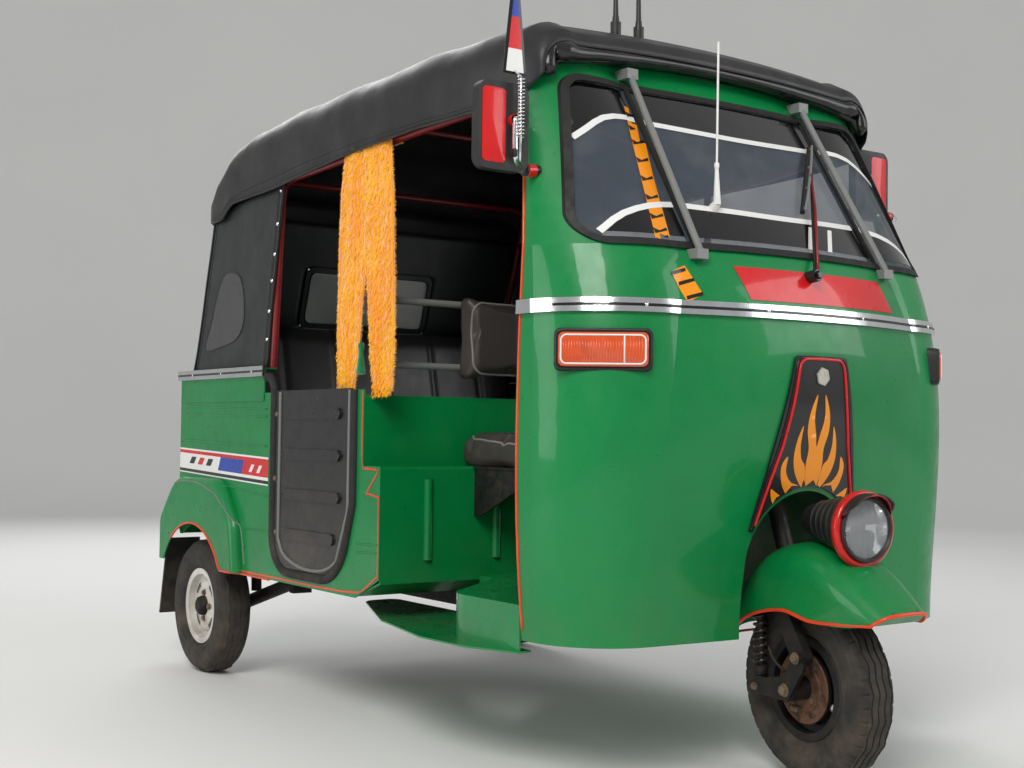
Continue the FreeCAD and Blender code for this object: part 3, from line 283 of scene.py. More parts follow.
# Windscreen and clear vinyl: each tint is the colour of the pane's painted reflection.
M["glass"] = glass("clear_glass", (0.075, 0.095, 0.125, 1.0), 0.46, 0.02, 0.12)
M["clear_vinyl"] = glass("clear_vinyl", (0.62, 0.66, 0.66, 1.0), 0.62, 0.18)
M["red_rim"] = paint("red_ring_paint", lin(196, 18, 20), 0.3, 0.6, 0.0)
M["bench_vinyl"] = vinyl("bench_vinyl", lin(36, 34, 34), 0.38)
M["piping"] = vinyl("grey_piping", lin(128, 124, 118), 0.42)
M["cap"] = steel("hub_cap_black", lin(34, 32, 31), 0.6, 0.5, lin(84, 66, 50), 0.5, 30.0)
M["brake"] = steel("brake_plate", lin(104, 74, 54), 0.7, 0.35, lin(60, 42, 32), 0.7, 34.0)
M["black_gloss"] = paint("gloss_black_paint", lin(20, 20, 21), 0.22, 0.5, 0.3, 0.45, 0.02)
M["grey_seam"] = paint("grey_seam_paint", lin(112, 116, 112), 0.5, 0.1, 0.3, 0.6, 0.04)
M["flame"] = paint("flame_paint", lin(240, 146, 12), 0.34, 0.4, 0.15, 0.7, 0.06)
M["badge"] = steel("badge_metal", lin(188, 184, 172), 0.34, 0.7, lin(120, 112, 98), 0.3, 60.0)
M["mirror_face"] = steel("mirror_face", lin(214, 220, 224), 0.03, 1.0, lin(150, 150, 146), 0.1, 8.0)
# Headlamp glass: its pale tint is a painted reflection.
M["lens_clear"] = glass("fluted_glass", (0.80, 0.84, 0.88, 1.0), 0.24, 0.04, 0.04)
M["curtain"] = vinyl("curtain_vinyl", lin(30, 34, 36), 0.40)
M["hazy"] = vinyl("hazy_vinyl", lin(58, 58, 60), 0.22)
# Back window: its dark grey tint is a painted reflection.
M["back_pane"] = glass("back_pane_vinyl", (0.16, 0.18, 0.17, 1.0), 0.72, 0.25)
M["thread"] = plastic("thread", lin(70, 70, 70), 0.7, 900.0, 0.3)
M["red_line"] = paint("red_line_paint", lin(226, 62, 24), 0.35, 0.5, 0.2, 0.5)
M["red"] = paint("red_paint", lin(206, 22, 26), 0.3, 0.5, 0.1, 0.5)
M["white"] = paint("white_paint", lin(228, 228, 226), 0.32, 0.5, 0.15, 0.5, 0.02)
M["blue"] = paint("blue_paint", lin(28, 66, 168), 0.32, 0.5, 0.1, 0.5)
M["black"] = paint("black_paint", lin(18, 18, 19), 0.30, 0.5, 0.2, 0.5, 0.02)
M["tint"] = paint("black_film", lin(9, 9, 10), 0.12, 0.8, 0.0)
M["plush"] = fur("plush", lin(255, 178, 6), lin(246, 138, 0))
# Lighter, yellower copy of the plush for the tufts: a painted highlight on the hair tips.
M["plush_tip_highlight"] = fur("plush_tip_highlight", lin(255, 196, 30), lin(250, 160, 6))
M["tassel"] = fur("tassel", lin(20, 128, 70), lin(10, 90, 50))

NODE_MATS = {
    "apron_plate": "black_panel", "back_curtain": "vinyl", "back_window": "clear_vinyl",
    "belt_strips": "bright",
    "body_side_left": "green", "body_side_right": "green", "bulkhead": "green", "cabin_rails": "grey",
    "canopy": "vinyl", "canopy_frame": "red_tube", "canopy_hoops": "red_tube", "chassis": "black_steel",
    "cowl": "green",
    "door_panel_right": "black_panel", "doorway_beading": "rubber", "driver_seat": "seat_vinyl",
    "driver_seat_frame": "black_steel", "engine": "cast", "engine_hatch": "green", "floor_pan": "green_floor",
    "fork_link": "black_steel", "front_fender": "green", "handlebar": "black_steel", "headlamp": "plastic",
    "headlamp_lens": "clear_lens", "headlamp_rim": "red_rim", "indicator_housings": "plastic",
    "indicator_lenses": "amber", "mirrors": "plastic", "mudflaps": "rubber", "passenger_seat": "seat_vinyl",
    "pennant": "plastic", "plush_cloth": "plush", "rear_deck": "green_under_shaded", "rear_fenders": "green",
    "rear_panel": "green", "rim_front": "black_steel", "rim_rear_left": "white_rim",
    "rim_rear_right": "white_rim",
    "roof_aerials": "plastic", "screen_aerial": "white_plastic", "side_curtains": "vinyl",
    "spring_damper": "black_steel", "steering_fork": "black_steel", "tail_lamps": "red_lens",
    "trailing_arms": "black_steel", "tyre_front": "tyre", "tyre_rear_left": "tyre", "tyre_rear_right": "tyre",
    "wheel_well": "green_under_shaded", "windscreen_bars": "grey", "windscreen_glass": "glass",
    "windscreen_frame": "green", "windscreen_seal": "rubber", "wiper": "plastic",
}
for name, key in NODE_MATS.items():
    o = N[name]
    o.data.materials.clear()
    o.data.materials.append(M[key])

# Shapes as (vertices, faces) lists, in metres


def tube(pts, r, n=10, closed=False, taper=None):
    """Round tube along points; taper gives the radius at each point."""
    pts = [Vector(p) for p in pts]
    m = len(pts)
    verts = []
    faces = []
    up = None
    for i, p in enumerate(pts):
        if closed:
            d = (pts[(i + 1) % m] - pts[i - 1]).normalized()
        else:
            d = (pts[min(i + 1, m - 1)] - pts[max(i - 1, 0)]).normalized()
        if up is None:
            up = d.orthogonal().normalized()
        up = (up - d * up.dot(d)).normalized()
        side = d.cross(up)
        rr = taper[i] if taper else r
        for k in range(n):
            a = 2 * math.pi * k / n
            verts.append(p + (up * math.cos(a) + side * math.sin(a)) * rr)
    for i in range(m if closed else m - 1):
        a = i * n
        b = ((i + 1) % m) * n
        for k in range(n):
            faces.append((a + k, a + (k + 1) % n, b + (k + 1) % n, b + k))
    if not closed:
        faces.append(tuple(reversed(range(n))))
        faces.append(tuple(range((m - 1) * n, m * n)))
    return verts, faces


def curve(pts, step=0.012, closed=False):
    """Smooth run of points through pts."""
    pts = [Vector(p) for p in pts]
    m = len(pts)
    out = []
    for i in range(m if closed else m - 1):
        p1 = pts[i]
        p2 = pts[(i + 1) % m]
        p0 = pts[i - 1] if (i > 0 or closed) else p1 * 2 - p2
        p3 = pts[(i + 2) % m] if (i + 2 < m or closed) else p2 * 2 - p1
        n = max(2, int((p2 - p1).length / step))
        for k in range(n):
            t = k / n
            out.append(0.5 * ((2 * p1) + (p2 - p0) * t + (2 * p0 - 5 * p1 + 4 * p2 - p3) * t * t
                              + (3 * p1 - p0 - 3 * p2 + p3) * t ** 3))
    if not closed:
        out.append(pts[-1])
    return out


def turn(profile, at, axis, n=32):
    """Turns (along, radius) points about an axis through at."""
    d = Vector(axis).normalized()
    e = d.orthogonal().normalized()
    f = d.cross(e)
    m = len(profile)
    verts = []
    faces = []
    for k in range(n):
        a = 2 * math.pi * k / n
        c = e * math.cos(a) + f * math.sin(a)
        for s, r in profile:
            verts.append(Vector(at) + d * s + c * r)
    for k in range(n):
        a = k * m
        b = ((k + 1) % n) * m
        for j in range(m - 1):
            faces.append((a + j, a + j + 1, b + j + 1, b + j))
    return verts, faces


def block(x0, x1, y0, y1, z0, z1, bevel=0.0):
    """Box with rounded edges."""
    bm = bmesh.new()
    bmesh.ops.create_cube(bm, size=1.0)
    for q in bm.verts:
        q.co = Vector(((x0 + x1) / 2 + q.co.x * (x1 - x0), (y0 + y1) / 2 + q.co.y * (y1 - y0),
                       (z0 + z1) / 2 + q.co.z * (z1 - z0)))
    if bevel:
        bmesh.ops.bevel(bm, geom=bm.edges[:], offset=bevel, segments=2, affect="EDGES", profile=0.5)
    bm.verts.index_update()
    out = ([q.co.copy() for q in bm.verts], [tuple(w.index for w in f.verts) for f in bm.faces])
    bm.free()
    return out


def plate(outline, low, high, plane="y", bevel=0.0):
    """Flat outline (a, b) pulled along an axis, its rims bevelled."""
    bm = bmesh.new()
    order = {"x": (2, 0, 1), "y": (0, 2, 1), "z": (0, 1, 2)}[plane]

    def put(*abc):
        return tuple(abc[i] for i in order)

    ring = [bm.verts.new(put(a, b, low)) for a, b in outline]
    f = bm.faces.new(ring)
    got = bmesh.ops.extrude_face_region(bm, geom=[f])
    d = Vector(put(0, 0, high - low))
    for q in got["geom"]:
        if isinstance(q, bmesh.types.BMVert):
            q.co += d
    bmesh.ops.recalc_face_normals(bm, faces=bm.faces[:])
    if bevel:
        rims = [e for e in bm.edges if abs(e.calc_face_angle(0.0)) > 0.5]
        bmesh.ops.bevel(bm, geom=rims, offset=bevel, segments=2, affect="EDGES", profile=0.5)
    bm.verts.index_update()
    out = ([q.co.copy() for q in bm.verts], [tuple(w.index for w in g.verts) for g in bm.faces])
    bm.free()
    return out


def rounded(a0, a1, b0, b1, r, n=5):
    """Outline of a rounded rectangle."""
    out = []
    corners = ((a1 - r, b1 - r, 0), (a0 + r, b1 - r, 90), (a0 + r, b0 + r, 180), (a1 - r, b0 + r, 270))
    for cx, cy, s in corners:
        for k in range(n + 1):
            t = math.radians(s + 90 * k / n)
            out.append((cx + r * math.cos(t), cy + r * math.sin(t)))
    return out


def join(*shapes):
    verts = []
    faces = []
    for vs, fs in shapes:
        k = len(verts)
        verts += vs
        faces += [tuple(i + k for i in f) for f in fs]
    return verts, faces


def mirror(shape):
    vs, fs = shape
    return [Vector((-p[0], p[1], p[2])) for p in vs], [tuple(reversed(f)) for f in fs]


def both(shape):
    return join(shape, mirror(shape))


# The fork's column is raked by 18 degrees and stands turned by 6
RAKE = math.radians(18)
COLUMN = Vector((0, math.sin(RAKE), math.cos(RAKE)))
STEER = (Matrix.Translation((0, -1.0, 0.205)) @ Matrix.Rotation(math.radians(-6.0), 4, COLUMN)
         @ Matrix.Translation((0, 1.0, -0.205)))


def steered(shape):
    """Turns a piece of the straight front end to its parked angle."""
    return [STEER @ Vector(p) for p in shape[0]], shape[1]


def make(name, shape, mat, body="body", smooth=35.0, replaces=None):
    """A piece from a shape: its material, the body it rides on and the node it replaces."""
    me = bpy.data.meshes.new(name)
    me.from_pydata([tuple(p) for p in shape[0]], [], shape[1])
    me.validate()
    bm = bmesh.new()
    bm.from_mesh(me)
    bmesh.ops.recalc_face_normals(bm, faces=bm.faces[:])
    bm.to_mesh(me)
    bm.free()
    if smooth:
        for f in me.polygons:
            f.use_smooth = True
        if smooth < 180:
            me.set_sharp_from_angle(angle=math.radians(smooth))
    me.materials.append(M[mat])
    o = bpy.data.objects.new(name, me)
    bpy.context.collection.objects.link(o)
    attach(o, body)
    if replaces:
        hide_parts(replaces)
    return o


def mm(pts):
    return [(a / 1000, b / 1000) for a, b in pts]


def smooth_line(pts, step, closed=False):
    """(a, b) points with a smooth run between them."""
    return [(p.x, p.y) for p in curve([(a, b, 0) for a, b in pts], step, closed)]


def resample(pts, n):
    """n + 1 points evenly along a line of (a, b) points."""
    run = [0.0]
    for a, b in zip(pts, pts[1:]):
        run.append(run[-1] + math.hypot(b[0] - a[0], b[1] - a[1]))
    out = []
    k = 0
    for i in range(n + 1):
        want = run[-1] * i / n
        while k < len(pts) - 2 and run[k + 1] < want:
            k += 1
        t = (want - run[k]) / max(1e-9, run[k + 1] - run[k])
        out.append((pts[k][0] + (pts[k + 1][0] - pts[k][0]) * t, pts[k][1] + (pts[k + 1][1] - pts[k][1]) * t))
    return out


def grid(rows):
    """Open sheet through equal rows of points."""
    verts = []
    faces = []
    for r in rows:
        verts += r
    m = len(rows[0])
    for i in range(len(rows) - 1):
        for k in range(m - 1):
            a = i * m + k
            faces.append((a, a + 1, a + m + 1, a + m))
    return verts, faces


def tree(*objs):
    """Something to lay decals on."""
    verts = []
    faces = []
    for o in objs:
        k = len(verts)
        verts += [q.co.copy() for q in o.data.vertices]
        faces += [tuple(i + k for i in p.vertices) for p in o.data.polygons]
    return BVHTree.FromPolygons(verts, faces)


PLANES = {
    "front": (lambda a, b: Vector((a, -3.0, b)), Vector((0, 1, 0))),
    "rear": (lambda a, b: Vector((a, 3.0, b)), Vector((0, -1, 0))),
    "right": (lambda a, b: Vector((-3.0, a, b)), Vector((1, 0, 0))),
    "left": (lambda a, b: Vector((3.0, a, b)), Vector((-1, 0, 0))),
    "top": (lambda a, b: Vector((a, b, 3.0)), Vector((0, 0, -1))),
}


def lay(a, b, plane, on, lift):
    start, d = PLANES[plane]
    p, nrm, _, _ = on.ray_cast(start(a, b), d)
    if p is None:
        return None
    if nrm.dot(d) > 0:
        nrm = -nrm
    return p + nrm * lift


def laid(pts, plane, on, lift=0.0, out=0.0):
    """Points laid on a surface, without those that miss it or lie closer to the middle than out."""
    hits = [lay(a, b, plane, on, lift) for a, b in pts]
    return [h for h in hits if h is not None and abs(h.x) >= out]


def ribbon(pts, width, plane, on, lift=0.0008, step=0.012, across=2):
    """Thin painted line laid on a surface, seen along one of the main directions."""
    pts = [Vector((a, b, 0)) for a, b in pts]
    line = []
    for p, q in zip(pts, pts[1:]):
        n = max(1, int((q - p).length / step))
        line += [p.lerp(q, k / n) for k in range(n)]
    line.append(pts[-1])
    verts = []
    ids = []
    for i, p in enumerate(line):
        before = (p - line[i - 1]).normalized() if i > 0 else (line[1] - p).normalized()
        after = (line[i + 1] - p).normalized() if i < len(line) - 1 else before
        square = Vector((-before.y, before.x, 0))
        slant = (square + Vector((-after.y, after.x, 0))).normalized()
        reach = width / 2 / max(0.35, slant.dot(square))
        row = []
        for j in range(across + 1):
            q = p + slant * reach * (2 * j / across - 1)
            hit = lay(q.x, q.y, plane, on, lift)
            row.append(None if hit is None else len(verts))
            if hit is not None:
                verts.append(hit)
        ids.append(row)
    faces = []
    for low, high in zip(ids, ids[1:]):
        for j in range(across):
            f = (low[j], low[j + 1], high[j + 1], high[j])
            if None not in f:
                far = max((verts[f[x]] - verts[f[x - 1]]).length for x in range(4))
                if far < 0.08:
                    faces.append(f)
    return verts, faces


def patch(outline, plane, on, lift=0.0008, step=0.025):
    """Flat outline laid on a surface, seen along one of the main directions."""
    bm = bmesh.new()
    ring = [bm.verts.new((a, b, 0)) for a, b in outline]
    bm.faces.new(ring)
    for ax in (0, 1):
        lo = min(p[ax] for p in outline)
        hi = max(p[ax] for p in outline)
        k = 1
        while lo + k * step < hi:
            co = [0, 0, 0]
            no = [0, 0, 0]
            co[ax] = lo + k * step
            no[ax] = 1
            bmesh.ops.bisect_plane(bm, geom=bm.verts[:] + bm.edges[:] + bm.faces[:], plane_co=co, plane_no=no)
            k += 1
    bmesh.ops.triangulate(bm, faces=bm.faces[:])
    bm.verts.index_update()
    verts = []
    ok = []
    for q in bm.verts:
        p = lay(q.co.x, q.co.y, plane, on, lift)
        ok.append(p is not None)
        verts.append(p if p is not None else Vector((0, 0, 0)))
    faces = []
    for f in bm.faces:
        idx = [w.index for w in f.verts]
        if all(ok[i] for i in idx):
            far = max((verts[idx[i]] - verts[idx[i - 1]]).length for i in range(len(idx)))
            if far < 0.12:
                faces.append(tuple(idx))
    bm.free()
    used = sorted({i for f in faces for i in f})
    back = {i: k for k, i in enumerate(used)}
    return [verts[i] for i in used], [tuple(back[i] for i in f) for f in faces]


def bolt(at, axis, r=0.006, h=0.004, n=6):
    """Hexagon head on a washer."""
    d = Vector(axis).normalized()
    a = Vector(at)
    profile = [(0.0015, 0.0), (0.0015, r * 1.12), (h, r * 1.12), (h + 0.001, r * 0.9), (h + 0.001, 0.0)]
    head = turn(profile, a, d, n)
    wash = turn([(0.0, 0.0), (0.0, r * 1.5), (0.0015, r * 1.5), (0.0015, 0.0)], a, d, 16)
    return join(wash, head)


def dome(at, axis, r=0.006, h=0.003, n=12):
    prof = [(h * math.sin(math.radians(t)), r * math.cos(math.radians(t))) for t in (0, 30, 60)] + [(h, 0.0)]
    return turn([(0.0, 0.0)] + prof, at, axis, n)


# The hood: one vinyl skin over the hoops

# At each Y one half of the hood, in mm: low edge x and z, end of the side, two arc points, crown and ridge
CANOPY = [
    (-676, 528, 1560, 1584, 514, 1615, 440, 1632, 1648), (-660, 540, 1540, 1592, 524, 1636, 436, 1664, 1681),
    (-606, 556, 1500, 1600, 538, 1655, 430, 1694, 1711), (-460, 582, 1494, 1600, 561, 1657, 452, 1694, 1715),
    (-250, 600, 1488, 1600, 578, 1657, 470, 1692, 1716), (400, 600, 1468, 1592, 578, 1650, 470, 1687, 1714),
    (760, 600, 1450, 1574, 577, 1632, 466, 1669, 1700), (880, 600, 1434, 1551, 574, 1607, 461, 1641, 1668),
    (960, 598, 1420, 1512, 570, 1558, 456, 1584, 1604), (1012, 595, 1405, 1460, 566, 1490, 450, 1504, 1514),
]
EDGE = [(-676, 1560), (-660, 1540), (-606, 1502), (-460, 1496), (-250, 1494), (57, 1489), (300, 1472),
        (523, 1456), (760, 1450), (834, 1446), (883, 1424), (915, 1404), (960, 1405), (1012, 1405)]
HOOPS = (-676, -560, -230, 160, 490, 920, 1020)


def between(table, y, col):
    """Value of a column at y, between two rows of a table."""
    for a, b in zip(table, table[1:]):
        if y <= b[0]:
            break
    t = max(0.0, min(1.0, (y - a[0]) / (b[0] - a[0])))
    return a[col] + (b[col] - a[col]) * t


def arc(p, m, q, n):
    """n + 1 points on the arc from p through m to q, in a plane."""
    ax, ay = p
    bx, by = m
    cx, cy = q
    sa, sb, sc = (x * x + y * y for x, y in (p, m, q))
    d = 2 * (ax * (by - cy) + bx * (cy - ay) + cx * (ay - by))
    ux = (sa * (by - cy) + sb * (cy - ay) + sc * (ay - by)) / d
    uy = (sa * (cx - bx) + sb * (ax - cx) + sc * (bx - ax)) / d
    r = math.hypot(ax - ux, ay - uy)
    a0, am, a1 = (math.atan2(y - uy, x - ux) for x, y in (p, m, q))
    while am < a0:
        am += 2 * math.pi
    while a1 < a0:
        a1 += 2 * math.pi
    if am > a1:
        a1 -= 2 * math.pi
    angles = [a0 + (a1 - a0) * k / n for k in range(n + 1)]
    return [(ux + r * math.cos(a), uy + r * math.sin(a)) for a in angles]


def hood_section(y):
    """Half of the hood's section, from its low edge to the ridge, in mm."""
    w, za, xm, zm, xb, zb, zt = (between(CANOPY, y, c) for c in (1, 3, 4, 5, 6, 7, 8))
    low = between(EDGE, y, 1)
    side = [(w, low + (za - low) * k / 5) for k in range(5)]
    corner = arc((w, za), (xm, zm), (xb, zb), 9)[:-1]
    return side + corner + arc((xb, zb), (0.0, zt), (-xb, zb), 28)[:15]


def dip(y, j, m):
    """How far the vinyl sinks between two hoops, in mm."""
    for a, b in zip(HOOPS, HOOPS[1:]):
        if a <= y <= b:
            s = math.sin(math.pi * (y - a) / (b - a)) ** 1.5
            span = min(1.0, (b - a) / 330.0)
            return 8.0 * s * span * min(1.0, max(0.0, (j - 3) / 9.0)) * (1.0 - 0.35 * j / m)
    return 0.0


def hood_point(x, y, z, j, m):
    """Point of the skin, with its sag, creases and the loose low edge; x, y and z in mm."""
    crease = noise.noise(Vector((x * 0.006, y * 0.006, z * 0.008))) * 2.6
    crease += noise.noise(Vector((x * 0.002, y * 0.016, z * 0.022))) * 1.8 * min(1.0, j / 6.0)
    hold = min(1.0, min(abs(y - h) for h in HOOPS) / 90.0)
    flare = 3.0 * max(0.0, 1.0 - j / 5.0) * noise.noise(Vector((3.7, y * 0.009, 1.0 if x > 0 else 7.0)))
    inward = Vector((0, 0, -1)) if j > 12 else Vector((-math.copysign(1, x), 0, -0.6)).normalized()
    p = Vector((x, y, z)) / 1000.0 + inward * (dip(y, j, m) + crease * hold) / 1000.0
    p.x += math.copysign(flare, x) / 1000.0
    return p


def hood_rows():
    ys = []
    for a, b in zip(CANOPY, CANOPY[1:]):
        n = max(2, int((b[0] - a[0]) / 22))
        ys += [a[0] + (b[0] - a[0]) * k / n for k in range(n)]
    rows = []
    for y in ys + [1012]:
        half = hood_section(y)
        m = len(half) - 1
        full = [(x, z, j) for j, (x, z) in enumerate(half)]
        full += [(-x, z, m - 1 - j) for j, (x, z) in enumerate(reversed(half[:-1]))]
        rows.append([hood_point(x, y, z, j, m) for x, z, j in full])
    return rows


ROWS = hood_rows()
FULL = len(ROWS[0])


def skin(y, j):
    """Point of the hood's skin at Y in mm and section index j, counted from the left low edge."""
    y = y / 1000.0
    for a, b in zip(ROWS, ROWS[1:]):
        if y <= b[20].y:
            break
    t = max(0.0, min(1.0, (y - a[20].y) / (b[20].y - a[20].y)))
    lo = max(0, min(FULL - 2, int(j)))
    return a[lo].lerp(a[lo + 1], j - lo).lerp(b[lo].lerp(b[lo + 1], j - lo), t)


def settle(o):
    """Applies a piece's modifiers, so that its mesh is final."""
    dg = bpy.context.evaluated_depsgraph_get()
    me = bpy.data.meshes.new_from_object(o.evaluated_get(dg))
    old = o.data
    o.modifiers.clear()
    o.data = me
    bpy.data.meshes.remove(old)


def thick(o, t, offset):
    """Gives a sheet its thickness for good."""
    s = o.modifiers.new("thick", "SOLIDIFY")
    s.thickness = t
    s.offset = offset
    s.use_even_offset = False
    settle(o)
    return o


def vinyl_piece(name, shape, mat, node="canopy", t=0.0, offset=0.0, smooth=180):
    """Part of the hood or a curtain; t is a sheet's thickness."""
    o = make(name, shape, mat, smooth=smooth, replaces=node)
    return thick(o, t, offset) if t else o


def hood_drop():
    """Rows of the rear drop, from the last hoop down."""
    rows = []
    for f in (0.0, 0.25, 0.5, 0.75, 1.0):
        row = []
        for p in ROWS[-1][5:FULL - 5]:
            low = 1.405 - 0.012 * abs(math.sin(p.x * 5.3)) * f
            y = p.y + 0.004 * f + 0.003 * math.sin(f * 3.1) * math.sin(p.x * 17)
            row.append(Vector((p.x * (1.0 - 0.012 * f), y, p.z + (low - p.z) * f)))
        rows.append(row)
    return rows


def drop_piping(row, r):
    return tube([Vector((p.x, p.y + 0.003, p.z)) for p in row], r, 8)


BROW = arc((490, 1590), (0, 1632), (-490, 1590), 40)


def front_roll():
    """Run and radii of the padded roll along the front hoop, thin at its ends."""
    path = []
    radii = []
    for p in ROWS[0]:
        if abs(p.x) > 0.488:
            q = Vector((math.copysign(0.499, p.x), p.y, max(p.z - 0.012, 1.548)))
        else:
            q = Vector((p.x, p.y, min(BROW, key=lambda b: abs(b[0] / 1000 - p.x))[1] / 1000))
        c = (p + q) / 2
        path.append(Vector((c.x, -0.668, c.z + 0.001)))
        swell = 1.0 + 0.16 * noise.noise(Vector((c.x * 9, 0.3, 2.2)))
        radii.append(max(0.0085, (p - q).length / 2 + 0.001) * swell)
    keep = [i for i, p in enumerate(path) if i == 0 or (p - path[i - 1]).length > 0.004]
    radii = [radii[i] for i in keep]
    for i, share in enumerate((0.30, 0.55, 0.75, 0.90)):
        radii[i] *= share
        radii[-1 - i] *= share
    return [path[i] for i in keep], radii


def front_lip():
    """Underside of the hood in front of its first hoop."""
    line = [(0.498, 1.56)] + mm(BROW) + [(-0.498, 1.56)]
    return grid([[Vector((a, y, b + 0.001)) for a, b in line] for y in (-0.672, -0.640, -0.606)])


def hood_line(js, r):
    """Piping that runs along the hood at section index js(y), on both sides."""
    out = []
    for sgn in (1, -1):
        pts = []
        for y in range(-640, 1011, 18):
            j = js(y)
            pts.append(skin(y, j if sgn > 0 else FULL - 1 - j) + Vector((sgn * 0.002, 0, 0)))
        out.append(tube(pts, r, 8))
    return join(*out)


def over_hood(seam, offset, lift, n):
    """Line over the hood from edge to edge, offset mm behind a seam."""
    out = []
    for k in range(n + 1):
        j = 0.2 + (FULL - 1 - 0.4) * k / n
        p = skin(seam(min(j, FULL - 1 - j)) + offset, j)
        up = Vector((p.x * 0.3, 0, 1)) if 12 < j < FULL - 13 else Vector((math.copysign(1, p.x), 0, 0.2))
        out.append(p + up.normalized() * lift)
    return out


def seam_band(seam, half):
    """A doubled strip of vinyl sewn over a seam."""
    sides = ((-half, 0.0003), (-half * 0.8, 0.0022), (half * 0.8, 0.0022), (half, 0.0003))
    return grid(list(zip(*[over_hood(seam, d, lift, 84) for d, lift in sides])))


def seam_rear(j):
    return 566 - 52 * min(1.0, j / 7.0) + 10 * math.sin(min(j, 7) * 0.45)


def seam_last(j):
    return 872 + 24 * min(1.0, j / 8.0)


vinyl_piece("hood_skin", grid(ROWS), "vinyl", t=0.0026, offset=1.0)
DROP = hood_drop()
vinyl_piece("hood_rear_drop", grid(DROP), "vinyl", t=0.0026)
ROLL, ROLL_RADII = front_roll()
vinyl_piece("hood_front_roll", tube(ROLL, 0.01, 14, taper=ROLL_RADII), "vinyl_gloss")
vinyl_piece("hood_front_lip", front_lip(), "vinyl_gloss", t=0.002, smooth=60)
vinyl_piece("hood_low_piping", hood_line(lambda y: 0.05, 0.0042), "vinyl")
vinyl_piece("hood_upper_piping", hood_line(lambda y: 1.05 + 0.25 * math.sin(y * 0.004), 0.0026), "vinyl")
vinyl_piece("hood_drop_piping", join(drop_piping(DROP[-1], 0.004), drop_piping(DROP[3], 0.0022)), "vinyl")
BANDS = (seam_band(seam_rear, 11), seam_band(seam_last, 12), seam_band(lambda j: -470, 9))
vinyl_piece("hood_seams", join(*BANDS), "vinyl")
STITCHES = ((seam_rear, -8), (seam_rear, 8), (seam_last, -9), (seam_last, 9))
THREADS = [tube(over_hood(seam, offset, 0.0014, 90), 0.0011, 8) for seam, offset in STITCHES]
vinyl_piece("hood_stitching", join(*THREADS), "thread")

# Rear quarter curtains: hems, stitching, studs and a hazy clear patch, in mm on the curtain's own plane
CURTAIN_FRONT = [(598, 937), (587, 1010), (574, 1102), (558, 1190), (544, 1266), (530, 1353), (512, 1448),
                 (505, 1484)]
CURTAIN_BACK = [(1150, 937), (1122, 1003), (1094, 1085), (1066, 1180), (1036, 1290), (1006, 1400),
                (996, 1432)]
STUDS = [(529, 1448), (548, 1353), (562, 1266), (577, 1190), (593, 1102), (605, 1020)]
CLEAR = [(915, 1236), (822, 1230), (784, 1190), (768, 1085), (815, 1034), (915, 1014), (1058, 1008),
         (1014, 1089), (968, 1180)]


def on_curtain(pts, lift=0.0):
    """Points of the right curtain, with its waves, at (y, z) in mm."""
    out = []
    for y, z in pts:
        wave = noise.noise(Vector((y * 0.007, z * 0.004, 3.0))) * 2.2
        wave += noise.noise(Vector((y * 0.018, z * 0.006, 9.0))) * 0.9
        free = math.sin(math.pi * min(1, max(0, (z - 937) / 500.0)))
        out.append(Vector((-(0.5872 + (wave + 1.0) * free / 1000.0) - lift, y / 1000, z / 1000)))
    return out


def side_curtains():
    front = resample(CURTAIN_FRONT, 40)
    back = resample(CURTAIN_BACK, 40)
    rows = []
    for (ya, za), (yb, zb) in zip(front, back):
        rows.append(on_curtain([(ya + (yb - ya) * k / 34, za + (zb - za) * k / 34) for k in range(35)]))
    right = vinyl_piece("side_curtain_right", grid(rows), "curtain", "side_curtains", 0.0016, -1.0)
    left = vinyl_piece("side_curtain_left", mirror(grid(rows)), "curtain", "side_curtains", 0.0016, -1.0)

    def sewn(line, shift, lift, r, n):
        return tube(on_curtain([(a + shift, b) for a, b in line], lift), r, n)

    foot = [(600 + 548 * k / 30, 941) for k in range(31)]
    hems = [sewn(line, shift, 0.0016, 0.0026, 8) for line, shift in ((front, 3), (back, -3), (foot, 0))]
    vinyl_piece("curtain_hems", both(join(*hems)), "curtain", "side_curtains")
    seams = ((front, 26), (front, 34), (back, -22))
    threads = [sewn(line, shift, 0.0012, 0.0010, 6) for line, shift in seams]
    vinyl_piece("curtain_stitching", both(join(*threads)), "thread", "side_curtains")
    studs = [dome(p, (-1, 0, 0), 0.0062, 0.0034, 14) for p in on_curtain(STUDS, 0.0012)]
    make("curtain_studs", both(join(*studs)), "chrome", smooth=50, replaces="side_curtains")
    outline = smooth_line(mm(CLEAR), 0.02, True)
    on = tree(right, left)
    hazy = patch(outline, "right", on, 0.0006, 0.03)
    make("curtain_clear_patch", both(hazy), "hazy", smooth=180, replaces="side_curtains")
    weld = tube(laid(outline, "right", on, 0.001), 0.0012, 6, closed=True)
    vinyl_piece("curtain_patch_weld", both(weld), "curtain", "side_curtains")


side_curtains()

# The back curtain and its window
WINDOW = (0.24, 1.105, 1.292)


def on_back(pts, lift=0.0):
    """Points of the back curtain, with its waves, at (x, z)."""
    out = []
    for x, z in pts:
        t = (z - 0.937) / (1.440 - 0.937)
        wave = noise.noise(Vector((x * 6.0, z * 4.0, 21.0))) * 0.0022
        wave += noise.noise(Vector((x * 17.0, z * 3.0, 5.0))) * 0.0012
        hold = min(1.0, (0.583 - abs(x)) / 0.12)
        out.append(Vector((x, 1.153 - 0.163 * t + wave * max(0.0, hold) + lift, z)))
    return out


